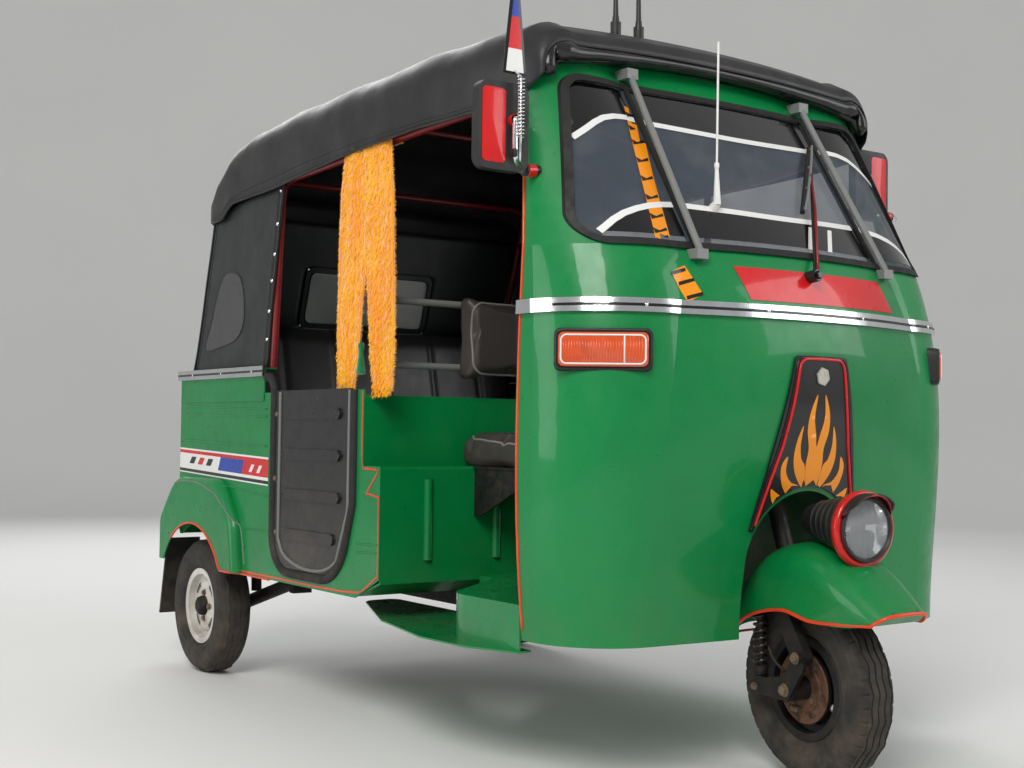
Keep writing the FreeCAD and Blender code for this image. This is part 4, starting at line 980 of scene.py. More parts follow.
def back_sheet():
    """The curtain with the window left open."""
    half, low, top = WINDOW
    xs = sorted({round(-0.583 + 1.166 * k / 44, 4) for k in range(45)} | {-half, half})
    zs = sorted({round(0.938 + 0.500 * k / 26, 4) for k in range(27)} | {low, top})
    m = len(xs)
    faces = []
    for i in range(len(zs) - 1):
        for k in range(m - 1):
            x = (xs[k] + xs[k + 1]) / 2
            z = (zs[i] + zs[i + 1]) / 2
            if abs(x) > half or not low < z < top:
                a = i * m + k
                faces.append((a, a + 1, a + m + 1, a + m))
    return on_back([(x, z) for z in zs for x in xs]), faces


def window_frame():
    """Raised vinyl frame on both faces of the curtain."""
    outer = rounded(-0.246, 0.246, 1.099, 1.298, 0.030, 6)
    inner = rounded(-0.228, 0.228, 1.117, 1.280, 0.022, 6)
    verts = []
    for loop, lift in ((outer, 0.0), (outer, 0.0036), (inner, 0.0036), (inner, -0.001)):
        verts += on_back(loop, lift)
    n = len(outer)
    faces = []
    for i in range(n):
        for r in range(3):
            faces.append((r * n + i, r * n + (i + 1) % n, (r + 1) * n + (i + 1) % n, (r + 1) * n + i))
    return join((verts, faces), ([Vector((p.x, p.y - 0.0075, p.z)) for p in verts], faces))


def back_line(a, b, r, n):
    """Hem or thread on the curtain from a to b."""
    run = [(a[0] + (b[0] - a[0]) * k / 40, a[1] + (b[1] - a[1]) * k / 40) for k in range(41)]
    return tube(on_back(run, 0.0016), r, n)


def back_curtain():
    vinyl_piece("back_curtain_sheet", back_sheet(), "curtain", "back_curtain", 0.0018)
    vinyl_piece("back_window_frame", window_frame(), "curtain", "back_curtain", smooth=40)
    pane = []
    for i in range(11):
        pane.append(on_back([(-0.238 + 0.476 * k / 24, 1.107 + 0.183 * i / 10) for k in range(25)], -0.001))
    o = make("back_window_pane", grid(pane), "back_pane", smooth=180, replaces="back_window")
    thick(o, 0.0012, 0.0)
    edges = (((-0.578, 0.943), (0.578, 0.943)), ((-0.578, 0.943), (-0.578, 1.436)),
             ((0.578, 0.943), (0.578, 1.436)))
    hems = [back_line(a, b, 0.0026, 8) for a, b in edges]
    vinyl_piece("back_curtain_hems", join(*hems), "curtain", "back_curtain")
    threads = [back_line((x, 0.945), (x, 1.435), 0.0010, 6) for x in (-0.545, -0.535, 0.535, 0.545)]
    vinyl_piece("back_curtain_stitching", join(*threads), "thread", "back_curtain")


back_curtain()

# Paint and trim laid on the panels
COWL = tree(N["cowl"])
RIGHT = tree(N["body_side_right"])
STRIPS = tree(N["belt_strips"])
GLASS = tree(N["windscreen_glass"])
APRON = tree(N["apron_plate"])


def red_side_lines():
    jog = mm([(-36, 858), (-36, 690), (-44, 662), (-124, 660), (-62, 600), (-124, 592), (-124, 396),
              (-40, 348), (60, 342)])
    low = mm([(60, 342), (240, 340), (500, 341), (690, 341)])
    lines = [both(ribbon(line, 0.005, "right", RIGHT)) for line in (jog, low)]
    make("side_red_lines", join(*lines), "red_line", smooth=180)


red_side_lines()

# Stripe band on the rear sides: red, white, blue and black bars, without words
# Each bar: colour, start and end along the band, low and top edge up it
BARS = [("white", 0.0, 1.0, 0.93, 1.0), ("red", 0.0, 1.0, 0.80, 0.93), ("white", 0.0, 0.46, 0.28, 0.80),
        ("blue", 0.46, 0.72, 0.28, 0.80), ("red", 0.72, 1.0, 0.28, 0.80), ("white", 0.0, 1.0, 0.17, 0.28),
        ("black", 0.0, 1.0, 0.05, 0.17), ("white", 0.0, 1.0, 0.0, 0.05)]
# Each mark on the bars: colour, start, width
MARKS = [("black", 0.12, 0.055), ("red", 0.22, 0.055), ("black", 0.32, 0.055), ("white", 0.80, 0.03),
         ("white", 0.88, 0.03)]


def band_at(t, v):
    """Point of the band: t runs forward from its rear end, v up from its low edge."""
    y = 1168 + (511 - 1168) * t
    lo = 619 + (596 - 619) * t
    hi = 696 + (677 - 696) * t
    return (y / 1000, (lo + (hi - lo) * v) / 1000)


def side_stripes():
    parts = {}
    for key, t0, t1, v0, v1 in BARS:
        rear = 0.03 if t0 > 0 else 0.0
        fore = 0.03 if t1 < 1 else 0.0
        quad = [band_at(t0, v0), band_at(t1, v0), band_at(t1 + fore, v1), band_at(t0 + rear, v1)]
        parts.setdefault(key, []).append(patch(quad, "right", RIGHT, 0.0007, 0.06))
    for key, t, w in MARKS:
        quad = [band_at(t, 0.40), band_at(t + w, 0.40), band_at(t + w + 0.03, 0.68), band_at(t + 0.03, 0.68)]
        parts.setdefault(key, []).append(patch(quad, "right", RIGHT, 0.0011, 0.06))
    for key, shapes in parts.items():
        make("side_stripes_" + key, both(join(*shapes)), key, smooth=180)


side_stripes()


def windscreen_paint():
    """Black film above and below, a white line along each, and two short white bars."""
    top_half = mm([(-525, 1385), (-455, 1432), (-400, 1466), (-330, 1478), (-250, 1470)])
    low_half = mm([(-515, 1178), (-440, 1232), (-330, 1262), (-200, 1262)])
    top = smooth_line(top_half + [(0.0, 1.462)] + [(-a, b) for a, b in top_half[::-1]], 0.03)
    low = smooth_line(low_half + [(0.0, 1.258)] + [(-a, b) for a, b in low_half[::-1]], 0.03)
    films = [top + [(0.56, 1.46), (0.56, 1.60), (-0.56, 1.60), (-0.56, 1.46)],
             low + [(0.58, 1.14), (-0.58, 1.14)]]
    films = [patch(film, "front", GLASS, 0.0006, 0.012) for film in films]
    make("windscreen_film", join(*films), "tint", smooth=180)
    lines = [ribbon(line, 0.013, "front", GLASS, 0.0011) for line in (top, low)]
    for x in (40, 110):
        bar = mm([(x, 1186), (x + 16, 1186), (x + 62, 1246), (x + 46, 1246)])
        lines.append(patch(bar, "front", GLASS, 0.0011, 0.03))
    make("windscreen_white_lines", join(*lines), "white", smooth=180)


windscreen_paint()


def front_plate():
    """Plain red plate between the windscreen and the belt strip."""
    outline = mm([(-186, 1052), (300, 1052), (268, 1126), (-212, 1126)])
    make("front_plate", patch(outline, "front", COWL, 0.0012, 0.03), "red", smooth=180)


front_plate()


def strip_lines():
    """Dark line along the middle of the bright strips."""
    lines = [ribbon(mm([(-597, 1028), (597, 1028)]), 0.006, "front", STRIPS, 0.0006),
             both(ribbon(mm([(548, 925), (1176, 925)]), 0.006, "right", STRIPS, 0.0006)),
             ribbon(mm([(-626, 925), (626, 925)]), 0.006, "rear", STRIPS, 0.0006)]
    make("strip_dark_lines", join(*lines), "black", smooth=180)


strip_lines()

# Seats: foam under vinyl, puffed by a short cloth simulation


def inflate(o, cap, pressure=4.0):
    """Puffs a closed form for 20 frames; no point moves by more than cap."""
    rest = [q.co.copy() for q in o.data.vertices]
    cloth = o.modifiers.new("cloth", "CLOTH")
    feel = cloth.settings
    feel.quality = 4
    feel.mass = 0.4
    feel.tension_stiffness = 12
    feel.compression_stiffness = 12
    feel.shear_stiffness = 6
    feel.bending_stiffness = 2.5
    feel.use_pressure = True
    feel.uniform_pressure_force = pressure
    feel.effector_weights.gravity = 0.0
    cloth.point_cache.frame_start = 1
    cloth.point_cache.frame_end = 20
    for f in range(1, 21):
        bpy.context.scene.frame_set(f)
    evaluated = o.evaluated_get(bpy.context.evaluated_depsgraph_get())
    puffed = [q.co.copy() for q in evaluated.to_mesh().vertices]
    evaluated.to_mesh_clear()
    o.modifiers.clear()
    bpy.context.scene.frame_set(1)
    for q, a, b in zip(o.data.vertices, rest, puffed):
        d = b - a
        if d.length > cap:
            d = d.normalized() * cap
        q.co = a + d


def puff(name, shape, mat, voxel, cap, box, node):
    """Padded piece from a slightly smaller form; box keeps it inside its space."""
    o = make(name, shape, mat, smooth=180, replaces=node)
    even = o.modifiers.new("even", "REMESH")
    even.mode = "VOXEL"
    even.voxel_size = voxel
    even.adaptivity = 0.0
    settle(o)
    inflate(o, cap)
    for q in o.data.vertices:
        q.co = [min(box[2 * i + 1], max(box[2 * i], q.co[i])) for i in range(3)]
    return o


def groove(o, dist, depth, width, keep_if):
    """Sewn channel: pulls the surface in where dist(p) is near nought."""
    for q in o.data.vertices:
        d = dist(q.co)
        if abs(d) < width * 3 and keep_if(q.co):
            q.co -= q.normal * depth * math.exp(-(d / width) ** 2)
    o.data.update()


def refine(o):
    s = o.modifiers.new("fine", "SUBSURF")
    s.levels = 1
    s.render_levels = 1
    settle(o)
    for f in o.data.polygons:
        f.use_smooth = True
    return o


def slab(corners, half, r=0.02):
    """Form across the vehicle, half wide each way, from a rounded (y, z) outline."""
    pts = []
    for i in range(len(corners)):
        p = Vector(corners[i])
        a = (Vector(corners[i - 1]) - p).normalized()
        b = (Vector(corners[(i + 1) % len(corners)]) - p).normalized()
        pts += [tuple(p + a * r * (1 - t) ** 2 + b * r * t ** 2) for t in (0, 0.25, 0.5, 0.75, 1)]
    return plate(pts, -half, half, "x", 0.012)


def piping(o, name, axes, node):
    """Cord sewn round a cushion's edge, laid on its own surface; axes are the two that span the face."""
    inset = 0.014
    lo = [min(q.co[i] for q in o.data.vertices) + inset for i in axes]
    hi = [max(q.co[i] for q in o.data.vertices) - inset for i in axes]
    loop = rounded(lo[0], hi[0], lo[1], hi[1], 0.03, 5)
    ring = []
    for p, q in zip(loop, loop[1:] + loop[:1]):
        a = Vector((*p, 0))
        b = Vector((*q, 0))
        n = max(1, int((b - a).length / 0.010))
        ring += [a.lerp(b, k / n)[:2] for k in range(n)]
    pts = laid(ring, "top" if axes == (0, 1) else "front", tree(o), 0.0006)
    make(name, tube(pts, 0.0034, 8, closed=True), "piping", smooth=180, replaces=node)


def driver_cushion():
    form = slab([(-0.420, 0.672), (-0.058, 0.672), (-0.058, 0.738), (-0.420, 0.735)], 0.352)
    box = (-0.366, 0.366, -0.434, -0.0482, 0.6683, 0.757)
    o = puff("driver_cushion", form, "seat_vinyl", 0.008, 0.022, box, "driver_seat")
    groove(o, lambda p: p.y + 0.245, 0.005, 0.006, lambda p: p.z > 0.72)
    for x in (-0.18, 0.0, 0.18):
        groove(o, lambda p: p.x - x, 0.005, 0.006, lambda p: p.z > 0.72)
    return refine(o)


def driver_backrest():
    form = slab([(-0.094, 0.892), (-0.044, 0.892), (-0.044, 1.118), (-0.086, 1.118)], 0.352)
    box = (-0.366, 0.366, -0.110, -0.0373, 0.8842, 1.127)
    o = puff("driver_backrest", form, "seat_vinyl", 0.008, 0.016, box, "driver_seat")
    for x in (-0.18, 0.0, 0.18):
        groove(o, lambda p: p.x - x, 0.005, 0.006, lambda p: p.y < -0.07)
    return refine(o)


def bench_cushion():
    form = slab([(0.508, 0.612), (0.892, 0.612), (0.892, 0.700), (0.508, 0.706)], 0.546)
    box = (-0.560, 0.560, 0.494, 0.9045, 0.6044, 0.724)
    o = puff("bench_cushion", form, "bench_vinyl", 0.010, 0.024, box, "passenger_seat")
    for y in (0.60, 0.70, 0.80):
        groove(o, lambda p: p.y - y, 0.006, 0.008, lambda p: p.z > 0.69)
    return refine(o)


def bench_back():
    form = slab([(0.897, 0.734), (0.963, 0.734), (1.028, 1.108), (0.990, 1.114)], 0.542, 0.016)
    box = (-0.556, 0.556, 0.884, 1.043, 0.7245, 1.129)
    o = puff("bench_back", form, "bench_vinyl", 0.010, 0.020, box, "passenger_seat")
    for x in (-0.37, -0.185, 0.0, 0.185, 0.37):
        groove(o, lambda p: p.x - x, 0.006, 0.008, lambda p: p.y < 0.93 + (p.z - 0.734) * 0.17)
    return refine(o)


def seats():
    cushion = driver_cushion()
    backrest = driver_backrest()
    bench = bench_cushion()
    bench_back()
    outline = [(0.912, 0.6046), (0.940, 0.6046), (0.962, 0.7300), (0.930, 0.7300)]
    board = plate(outline, -0.535, 0.535, "x", 0.003)
    make("bench_board", board, "black_steel", replaces="passenger_seat")
    piping(cushion, "driver_cushion_piping", (0, 1), "driver_seat")
    piping(bench, "bench_piping", (0, 1), "passenger_seat")
    piping(backrest, "driver_backrest_piping", (0, 2), "driver_seat")


seats()

# Plush cloth that hangs over the rail in two strands, each between two edges of (y, z)
STRANDS = [
    ([(-0.100, 1.492), (-0.120, 1.38), (-0.134, 1.20), (-0.138, 1.04), (-0.139, 0.93), (-0.132, 0.858)],
     [(0.022, 1.492), (0.014, 1.38), (0.002, 1.20), (-0.014, 1.05), (-0.028, 0.94), (-0.046, 0.856)]),
    ([(0.024, 1.492), (0.015, 1.38), (0.011, 1.20), (0.028, 1.05), (0.045, 0.94), (0.062, 0.862)],
     [(0.130, 1.492), (0.147, 1.38), (0.158, 1.20), (0.160, 1.04), (0.157, 0.93), (0.149, 0.866)]),
]
PLUSH_X = -0.5925


def plush_piece(name, shape, mat="plush", smooth=180):
    return make(name, shape, mat, smooth=smooth, replaces="plush_cloth")


def strand(fore, aft, seed):
    """Rows of a soft strip between two edge lines, with folds along its length."""
    fore = smooth_line(fore, 0.012)
    aft = resample(smooth_line(aft, 0.012), len(fore) - 1)
    rows = []
    for a, b in zip(fore, aft):
        row = []
        for k in range(23):
            t = k / 22
            y = a[0] + (b[0] - a[0]) * t
            z = a[1] + (b[1] - a[1]) * t
            fold = 0.0022 * math.sin(t * 9.0 + seed + 1.6 * noise.noise(Vector((seed, z * 3.0, 0.0))))
            fuzz = 0.0013 * noise.noise(Vector((y * 90, z * 60, seed)))
            sway = 0.003 * noise.noise(Vector((seed * 3, z * 9, t)))
            row.append(Vector((PLUSH_X + fold + fuzz, y + sway, z)))
        rows.append(row)
    return rows


def spikes(tufts):
    """Small three-sided hairs, each from its four corners."""
    verts = []
    faces = []
    for corners in tufts:
        a = len(verts)
        verts += corners
        faces += [(a, a + 1, a + 3), (a + 1, a + 2, a + 3), (a + 2, a, a + 3), (a, a + 2, a + 1)]
    return verts, faces


def edge_hairs(edge, out_dir, n, seed, length):
    """Tufts that stand out from an edge of the plush."""
    rnd = random.Random(seed)
    tufts = []
    for _ in range(n):
        t = rnd.random() * (len(edge) - 1)
        k = min(len(edge) - 2, int(t))
        p = edge[k].lerp(edge[k + 1], t - k)
        d = Vector((rnd.uniform(-0.35, 0.35), out_dir[0] + rnd.uniform(-0.25, 0.25),
                    out_dir[1] + rnd.uniform(-0.9, 0.2)))
        d = d.normalized() * length * rnd.uniform(0.5, 1.15)
        w = Vector((0.0016, 0, 0)) if rnd.random() < 0.5 else Vector((0, 0, 0.0022))
        p = p - d * 0.25
        tufts.append((p - w, p + w, p + Vector((0, w.z, -w.x)), p + d))
    return spikes(tufts)


def face_hairs(rows, seed):
    """Tufts all over the outer face of a strand, nine around each of its points."""
    rnd = random.Random(seed)
    w = Vector((0, 0.0018, 0))
    tufts = []
    for p in [r[k] for r in rows[::2] for k in range(2, 21, 3)]:
        for _ in range(9):
            q = p + Vector((-0.004, rnd.uniform(-0.008, 0.008), rnd.uniform(-0.012, 0.012)))
            d = Vector((-0.004, rnd.uniform(-0.004, 0.004), -0.011 * rnd.uniform(0.5, 1.1)))
            tufts.append((q - w, q + w, q + Vector((-0.002, 0, 0.001)), q + d))
    return spikes(tufts)


def plush():
    strands = [strand(fore, aft, 3.0 + 2.7 * i) for i, (fore, aft) in enumerate(STRANDS)]
    tufts = []
    for i, rows in enumerate(strands):
        tufts.append(edge_hairs([r[0] for r in rows], (-1.0, 0.0), 1400, 11 + i, 0.016))
        tufts.append(edge_hairs([r[-1] for r in rows], (1.0, 0.0), 1000, 21 + i, 0.012))
        tufts.append(edge_hairs(rows[-1], (0.0, -1.0), 420, 31 + i, 0.020))
        tufts.append(face_hairs(rows, 41 + i))
    for i, rows in enumerate(strands):
        thick(plush_piece("plush_strand_%d" % (i + 1), grid(rows)), 0.0050, 0.0)
    # The tufts take the lighter plush, a painted highlight on the tips.
    plush_piece("plush_tufts", join(*tufts), "plush_tip_highlight", 0)
    over = []
    for i in range(9):
        a = math.radians(-10 + 200 * i / 8)
        x = -0.572 - 0.0165 * math.cos(a)
        z = 1.4905 + 0.0165 * math.sin(a)
        over.append([Vector((x, y / 1000, z + 0.0006 * math.sin(y * 0.2))) for y in range(-104, 136, 8)])
    thick(plush_piece("plush_over_rail", grid(over)), 0.0045, 0.0)


def plush_tassel():
    bell = turn([(0.0, 0.0), (0.0, 0.006), (0.008, 0.009), (0.02, 0.0075), (0.024, 0.006), (0.07, 0.012),
                 (0.082, 0.013), (0.084, 0.0)], (PLUSH_X + 0.001, 0.030, 0.985), (0, 0, -1), 14)
    line = [(PLUSH_X, 0.014, 1.16), (PLUSH_X, 0.022, 1.08), (PLUSH_X + 0.001, 0.030, 0.984)]
    thread = tube(line, 0.0016, 6)
    plush_piece("plush_tassel", join(bell, thread), "tassel", 60)


plush()
plush_tassel()

# Pennant: a stiff flag on a coil spring
FLAG_FOOT = Vector((-0.640, -0.717, 1.506))
STEM = FLAG_FOOT + Vector((0.0, -0.026, 0.0))


def pennant_spring():
    coil = []
    for t in range(232):
        x = 0.0080 * math.cos(t * 0.45)
        y = 0.0080 * math.sin(t * 0.45)
        coil.append(STEM + Vector((x, y, -0.118 + 0.00056 * t)))
    wire = [FLAG_FOOT + Vector((0, 0, 0.030)), FLAG_FOOT + Vector((0, -0.012, 0.022))]
    down = ((0, 0, 0.012), (0, 0, -0.150), (0.004, 0.006, -0.166), (0.012, 0.012, -0.172))
    wire += [STEM + Vector(d) for d in down]
    make("pennant_spring", join(tube(coil, 0.0017, 6), tube(wire, 0.0026, 8)), "chrome", smooth=180,
         replaces="pennant")


def flag_part(z0, z1, w0, w1, thickness, bevel):
    """Part of the flag between two heights, w0 and w1 its half widths there."""
    x, y, z = FLAG_FOOT
    low = z + 0.022
    outline = [(x - w0, low + z0), (x + w0, low + z0), (x + w1, low + z1), (x - w1, low + z1)]
    return plate(outline, y - thickness, y + thickness, "y", bevel)


def flag_half(z):
    return 0.031 + (0.008 - 0.031) * z / 0.210 - 0.0075


def pennant_flag():
    make("pennant_border", flag_part(0.0, 0.210, 0.031, 0.008, 0.0016, 0.0008), "black", smooth=30,
         replaces="pennant")
    bands = {"white": ((0.005, 0.055), (0.165, 0.204)), "red": ((0.055, 0.125),), "blue": ((0.125, 0.165),)}
    for key, spans in bands.items():
        parts = [flag_part(a, b, flag_half(a), flag_half(b), 0.0024, 0.0) for a, b in spans]
        make("pennant_" + key, join(*parts), key, smooth=30, replaces="pennant")


pennant_spring()
pennant_flag()

# Tyres with zigzag ribs and shoulder cuts
BEAD_TO_SHOULDER = [
    (-0.0332, 0.1033), (-0.0332, 0.1163), (-0.0390, 0.1203), (-0.0465, 0.128), (-0.0505, 0.138),
    (-0.0515, 0.141), (-0.0508, 0.143), (-0.0520, 0.155), (-0.0518, 0.163), (-0.0505, 0.1725),
    (-0.0512, 0.1735), (-0.0508, 0.1765), (-0.0490, 0.1785), (-0.0470, 0.1855),
]
SHOULDER = [(-0.0440, 0.1915), (-0.0375, 0.1968), (-0.0300, 0.2003)]


def tyre(deep):
    """Tyre about the X axis at the origin, its outer side at -X; deep is the groove depth."""
    half = [(x, r, "wall") for x, r in BEAD_TO_SHOULDER] + [(x, r, "shoulder") for x, r in SHOULDER]
    tread = []
    for c in (-0.0265, -0.0090, 0.0090, 0.0265):
        r = 0.2050 - 0.9 * c * c
        tread += [(c - 0.0022, r, "rib"), (c - 0.0012, r - deep, "groove"), (c + 0.0012, r - deep, "groove"),
                  (c + 0.0022, r, "rib")]
        if c < 0.02:
            tread.append((c + 0.00875, 0.2050 - 0.9 * (c + 0.00875) ** 2, "rib"))
    cols = half + tread + [(-x, r, kind) for x, r, kind in reversed(half)]
    n = 252
    m = len(cols)
    verts = []
    for k in range(n):
        a = 2 * math.pi * k / n
        zigzag = 0.0030 * (abs((k % 12) / 12.0 * 2 - 1) * 2 - 1)
        for x, r, kind in cols:
            if kind == "shoulder" and k % 6 == 0:
                r -= 0.6 * deep
            if kind == "rib" and k % 6 == 3 and abs(x) > 0.004:
                r -= 0.0008
            if kind in ("rib", "groove"):
                x += zigzag
            verts.append(Vector((x, r * math.sin(a), r * math.cos(a))))
    faces = []
    for k in range(n):
        a = k * m
        b = ((k + 1) % n) * m
        faces += [(a + j, a + j + 1, b + j + 1, b + j) for j in range(m - 1)]
        faces.append((a + m - 1, a, b, b + m - 1))
    return verts, faces


def at(shape, x, y, z, flip=False):
    """Moves a wheel's piece to its axle, turned to face left if flipped."""
    vs, fs = shape
    if flip:
        return [Vector((x - p.x, y + p.y, z + p.z)) for p in vs], [tuple(reversed(f)) for f in fs]
    return [Vector((x + p.x, y + p.y, z + p.z)) for p in vs], fs


def spaced(n, r, start=0.0):
    """n places on a circle of radius r, as (y, z)."""
    angles = [math.radians(start + 360 / n * i) for i in range(n)]
    return [(r * math.sin(a), r * math.cos(a)) for a in angles]


WORN = tyre(0.0022)
REAR = (("right", -0.575, False), ("left", 0.575, True))
for side, x, flip in REAR:
    make("tyre_rear_%s_tread" % side, at(WORN, x, 1.0, 0.205, flip), "tyre", "rear_wheel_" + side, 28,
         "tyre_rear_" + side)
make("tyre_front_tread", steered(at(tyre(0.0055), 0.0, -1.0, 0.205)), "tyre", "front_wheel", 28, "tyre_front")

# Rear rims: pressed white steel with black sheets over its slots, painted shade in the openings, wheel nuts
# and a rough dark cap


def about_x(profile, n):
    return turn(profile, (0, 0, 0), (1, 0, 0), n)


def rim_pressing():
    rim = about_x([(-0.038, 0.1160), (-0.0340, 0.1160), (-0.0335, 0.1030), (-0.014, 0.1010), (-0.010, 0.0860),
                   (0.010, 0.0860), (0.014, 0.1010), (0.0335, 0.1030), (0.0340, 0.1160), (0.038, 0.1160),
                   (0.038, 0.1120), (0.016, 0.0970), (0.013, 0.0820), (-0.013, 0.0820), (-0.0155, 0.0955),
                   (-0.0365, 0.0985), (-0.038, 0.1105), (-0.038, 0.1160)], 72)
    disc = about_x([(-0.0125, 0.0825), (-0.0170, 0.0800), (-0.0215, 0.0740), (-0.0225, 0.0660),
                    (-0.0200, 0.0580), (-0.0205, 0.0500), (-0.0240, 0.0450), (-0.0245, 0.0300),
                    (-0.0245, 0.0), (-0.0100, 0.0), (-0.0100, 0.0825), (-0.0125, 0.0825)], 72)
    return join(rim, disc)


# Black sheets over the four slots: painted shade where the disc is open.
def rim_slot_shade():
    out = []
    for i in range(4):
        angles = [math.radians(45 + 90 * i) + math.radians(-16 + 32 * k / 8) for k in range(9)]
        rows = []
        for r, x in ((0.0800, -0.0206), (0.0745, -0.0232), (0.0690, -0.0240), (0.0640, -0.0236)):
            rows.append([Vector((x, r * math.sin(a), r * math.cos(a))) for a in angles])
        out.append(grid(rows))
    return join(*out)


def rim_nuts():
    return join(*[bolt((-0.0240, y, z), (-1, 0, 0), 0.0068, 0.007) for y, z in spaced(4, 0.040)])


def rear_rims():
    cap = about_x([(-0.0245, 0.0), (-0.0245, 0.0300), (-0.0300, 0.0305), (-0.0420, 0.0270), (-0.0470, 0.0200),
                   (-0.0480, 0.0110), (-0.0460, 0.0085), (-0.0460, 0.0)], 40)
    hub = about_x([(-0.012, 0.0), (-0.012, 0.044), (0.036, 0.044), (0.040, 0.040), (0.040, 0.016),
                   (0.040, 0.0)], 40)
    pieces = (("pressing", rim_pressing(), "white_rim", 40, "white_paint"),
              ("slot_shade", rim_slot_shade(), "black", 40, "black_steel"),
              ("nuts", rim_nuts(), "dusty_steel", 30, "bare_steel"),
              ("cap", cap, "cap", 40, "black_steel"),
              ("hub", hub, "dusty_steel", 40, "bare_steel"))
    for side, x, flip in REAR:
        for name, shape, mat, smooth, slot in pieces:
            placed = at(shape, x, 1.0, 0.205, flip)
            make("rim_%s_%s" % (side, name), placed, mat, "rear_wheel_" + side, smooth,
                 "rim_rear_" + side)


rear_rims()

# Front wheel's running gear, modelled straight and turned to the parked angle
AXLE_Y = -1.0
AXLE_Z = 0.205


def on_fork(name, shapes, mat, smooth, node=None, body="steering"):
    return make(name, steered(join(*shapes)), mat, body, smooth, node)


def about_axle(profile, n, y=AXLE_Y, z=AXLE_Z):
    return turn(profile, (0, y, z), (1, 0, 0), n)


def fork_spring():
    """Nine turns of wire between two cups on a damper rod."""
    turns = 9
    low = 0.246
    top = 0.3955
    wire = []
    for k in range(turns * 20 + 1):
        t = 2 * math.pi * k / 20
        z = low + (top - low) * k / (turns * 20)
        wire.append(Vector((-0.075 + 0.0138 * math.cos(t), -0.903 + 0.0138 * math.sin(t), z)))
    on_fork("fork_spring_coil", [tube(wire, 0.0039, 8)], "black_gloss", 180, "spring_damper")
    rod = turn([(0.0, 0.0), (0.0, 0.0125), (0.004, 0.0150), (0.022, 0.0150), (0.025, 0.0085), (0.172, 0.0085),
                (0.174, 0.0150), (0.196, 0.0150), (0.2035, 0.0120), (0.2035, 0.0)], (-0.075, -0.903, 0.2222),
               (0, 0, 1), 24)
    on_fork("fork_damper", [rod], "black_steel", 40, "spring_damper")


def fork_bolts():
    """Link pivot, stub axle, spring foot and the two bolts of the spring's head: place, radius and height."""
    spots = [((-0.0998, -1.047, 0.282), 0.0088, 0.007), ((-0.0918, -1.0, 0.205), 0.0100, 0.009),
             ((-0.0918, -0.898, 0.198), 0.0062, 0.006), ((-0.0820, -0.930, 0.437), 0.0056, 0.005),
             ((-0.0820, -0.912, 0.437), 0.0056, 0.005)]
    bolts = [bolt(place, (-1, 0, 0), r, h) for place, r, h in spots]
    on_fork("fork_bolts", bolts, "dusty_steel", 30)


def brake_plate():
    """Rusty disc with a pressed ring, black cups over its holes as painted shade, and the brake's lever."""
    face = about_axle([(-0.0360, 0.0262), (-0.0366, 0.0262), (-0.0366, 0.0440), (-0.0392, 0.0475),
                       (-0.0392, 0.0520), (-0.0366, 0.0555), (-0.0366, 0.0700), (-0.0385, 0.0730),
                       (-0.0385, 0.0785), (-0.0366, 0.0798), (-0.0345, 0.0798)], 64)
    on_fork("brake_plate_face", [face], "brake", 35)
    # Black cups over the six holes: painted shade in the openings.
    hole = [(-0.0367, 0.0), (-0.0367, 0.0052), (-0.0372, 0.0056), (-0.0372, 0.0062), (-0.0365, 0.0066)]
    holes = [about_axle(hole, 16, AXLE_Y + y, AXLE_Z + z) for y, z in spaced(6, 0.0628, 20)]
    on_fork("brake_plate_hole_shade", holes, "black", 35)
    lever = [block(-0.050, -0.0366, -0.9905, -0.9695, 0.150, 0.162, 0.002)]
    lever += [bolt((-0.0366, y, z), (-1, 0, 0), 0.0058, 0.006) for y, z in ((-1.030, 0.180), (-0.962, 0.226))]
    on_fork("brake_plate_lever", lever, "dusty_steel", 35)


def brake_hose():
    route = [(-0.055, -0.960, 0.236), (-0.060, -0.925, 0.262), (-0.058, -0.895, 0.32), (-0.045, -0.888, 0.38),
             (-0.036, -0.902, 0.434)]
    on_fork("brake_hose", [tube(curve(route, 0.01), 0.0036, 8)], "rubber", 180)


def front_rim():
    """Rolled lips on both sides, and wheel nuts seated on the disc."""
    lip = [(-0.026, 0.1160), (-0.034, 0.1160), (-0.0365, 0.1175), (-0.0378, 0.1160), (-0.0370, 0.1080),
           (-0.0330, 0.1010), (-0.0290, 0.0990), (-0.0262, 0.0990)]
    lips = [about_axle(lip, 72), about_axle([(-a, b) for a, b in lip], 72)]
    on_fork("rim_front_lips", lips, "black_gloss", 40, body="front_wheel")
    disc = tree(N["rim_front"])
    inward = (STEER.to_3x3() @ Vector((-1, 0, 0))).normalized()
    nuts = []
    for y, z in spaced(5, 0.045):
        hit = disc.ray_cast(STEER @ Vector((0.30, AXLE_Y + y, AXLE_Z + z)), inward)[0]
        nuts.append(bolt(hit, -inward, 0.0068, 0.007))
    make("rim_front_nuts", join(*nuts), "dusty_steel", "front_wheel", 30)


fork_spring()
fork_bolts()
brake_plate()
brake_hose()
front_rim()

# Front fender: orange-red bead along the whole lip. Rows: angle, crown radius, half width, foot radius
FENDER = [(24, 238, 84, 214), (50, 272, 97, 190), (90, 320, 100, 176), (122, 324, 94, 190),
          (146, 342, 70, 300)]


def on_fender(x, angle, r):
    """Point at x and a radius from the axle, in mm, at an angle above the rearward level."""
    t = math.radians(angle)
    return Vector((x / 1000, AXLE_Y + math.cos(t) * r / 1000, AXLE_Z + math.sin(t) * r / 1000))


def flipped(pts):
    return [Vector((-p.x, p.y, p.z)) for p in reversed(pts)]


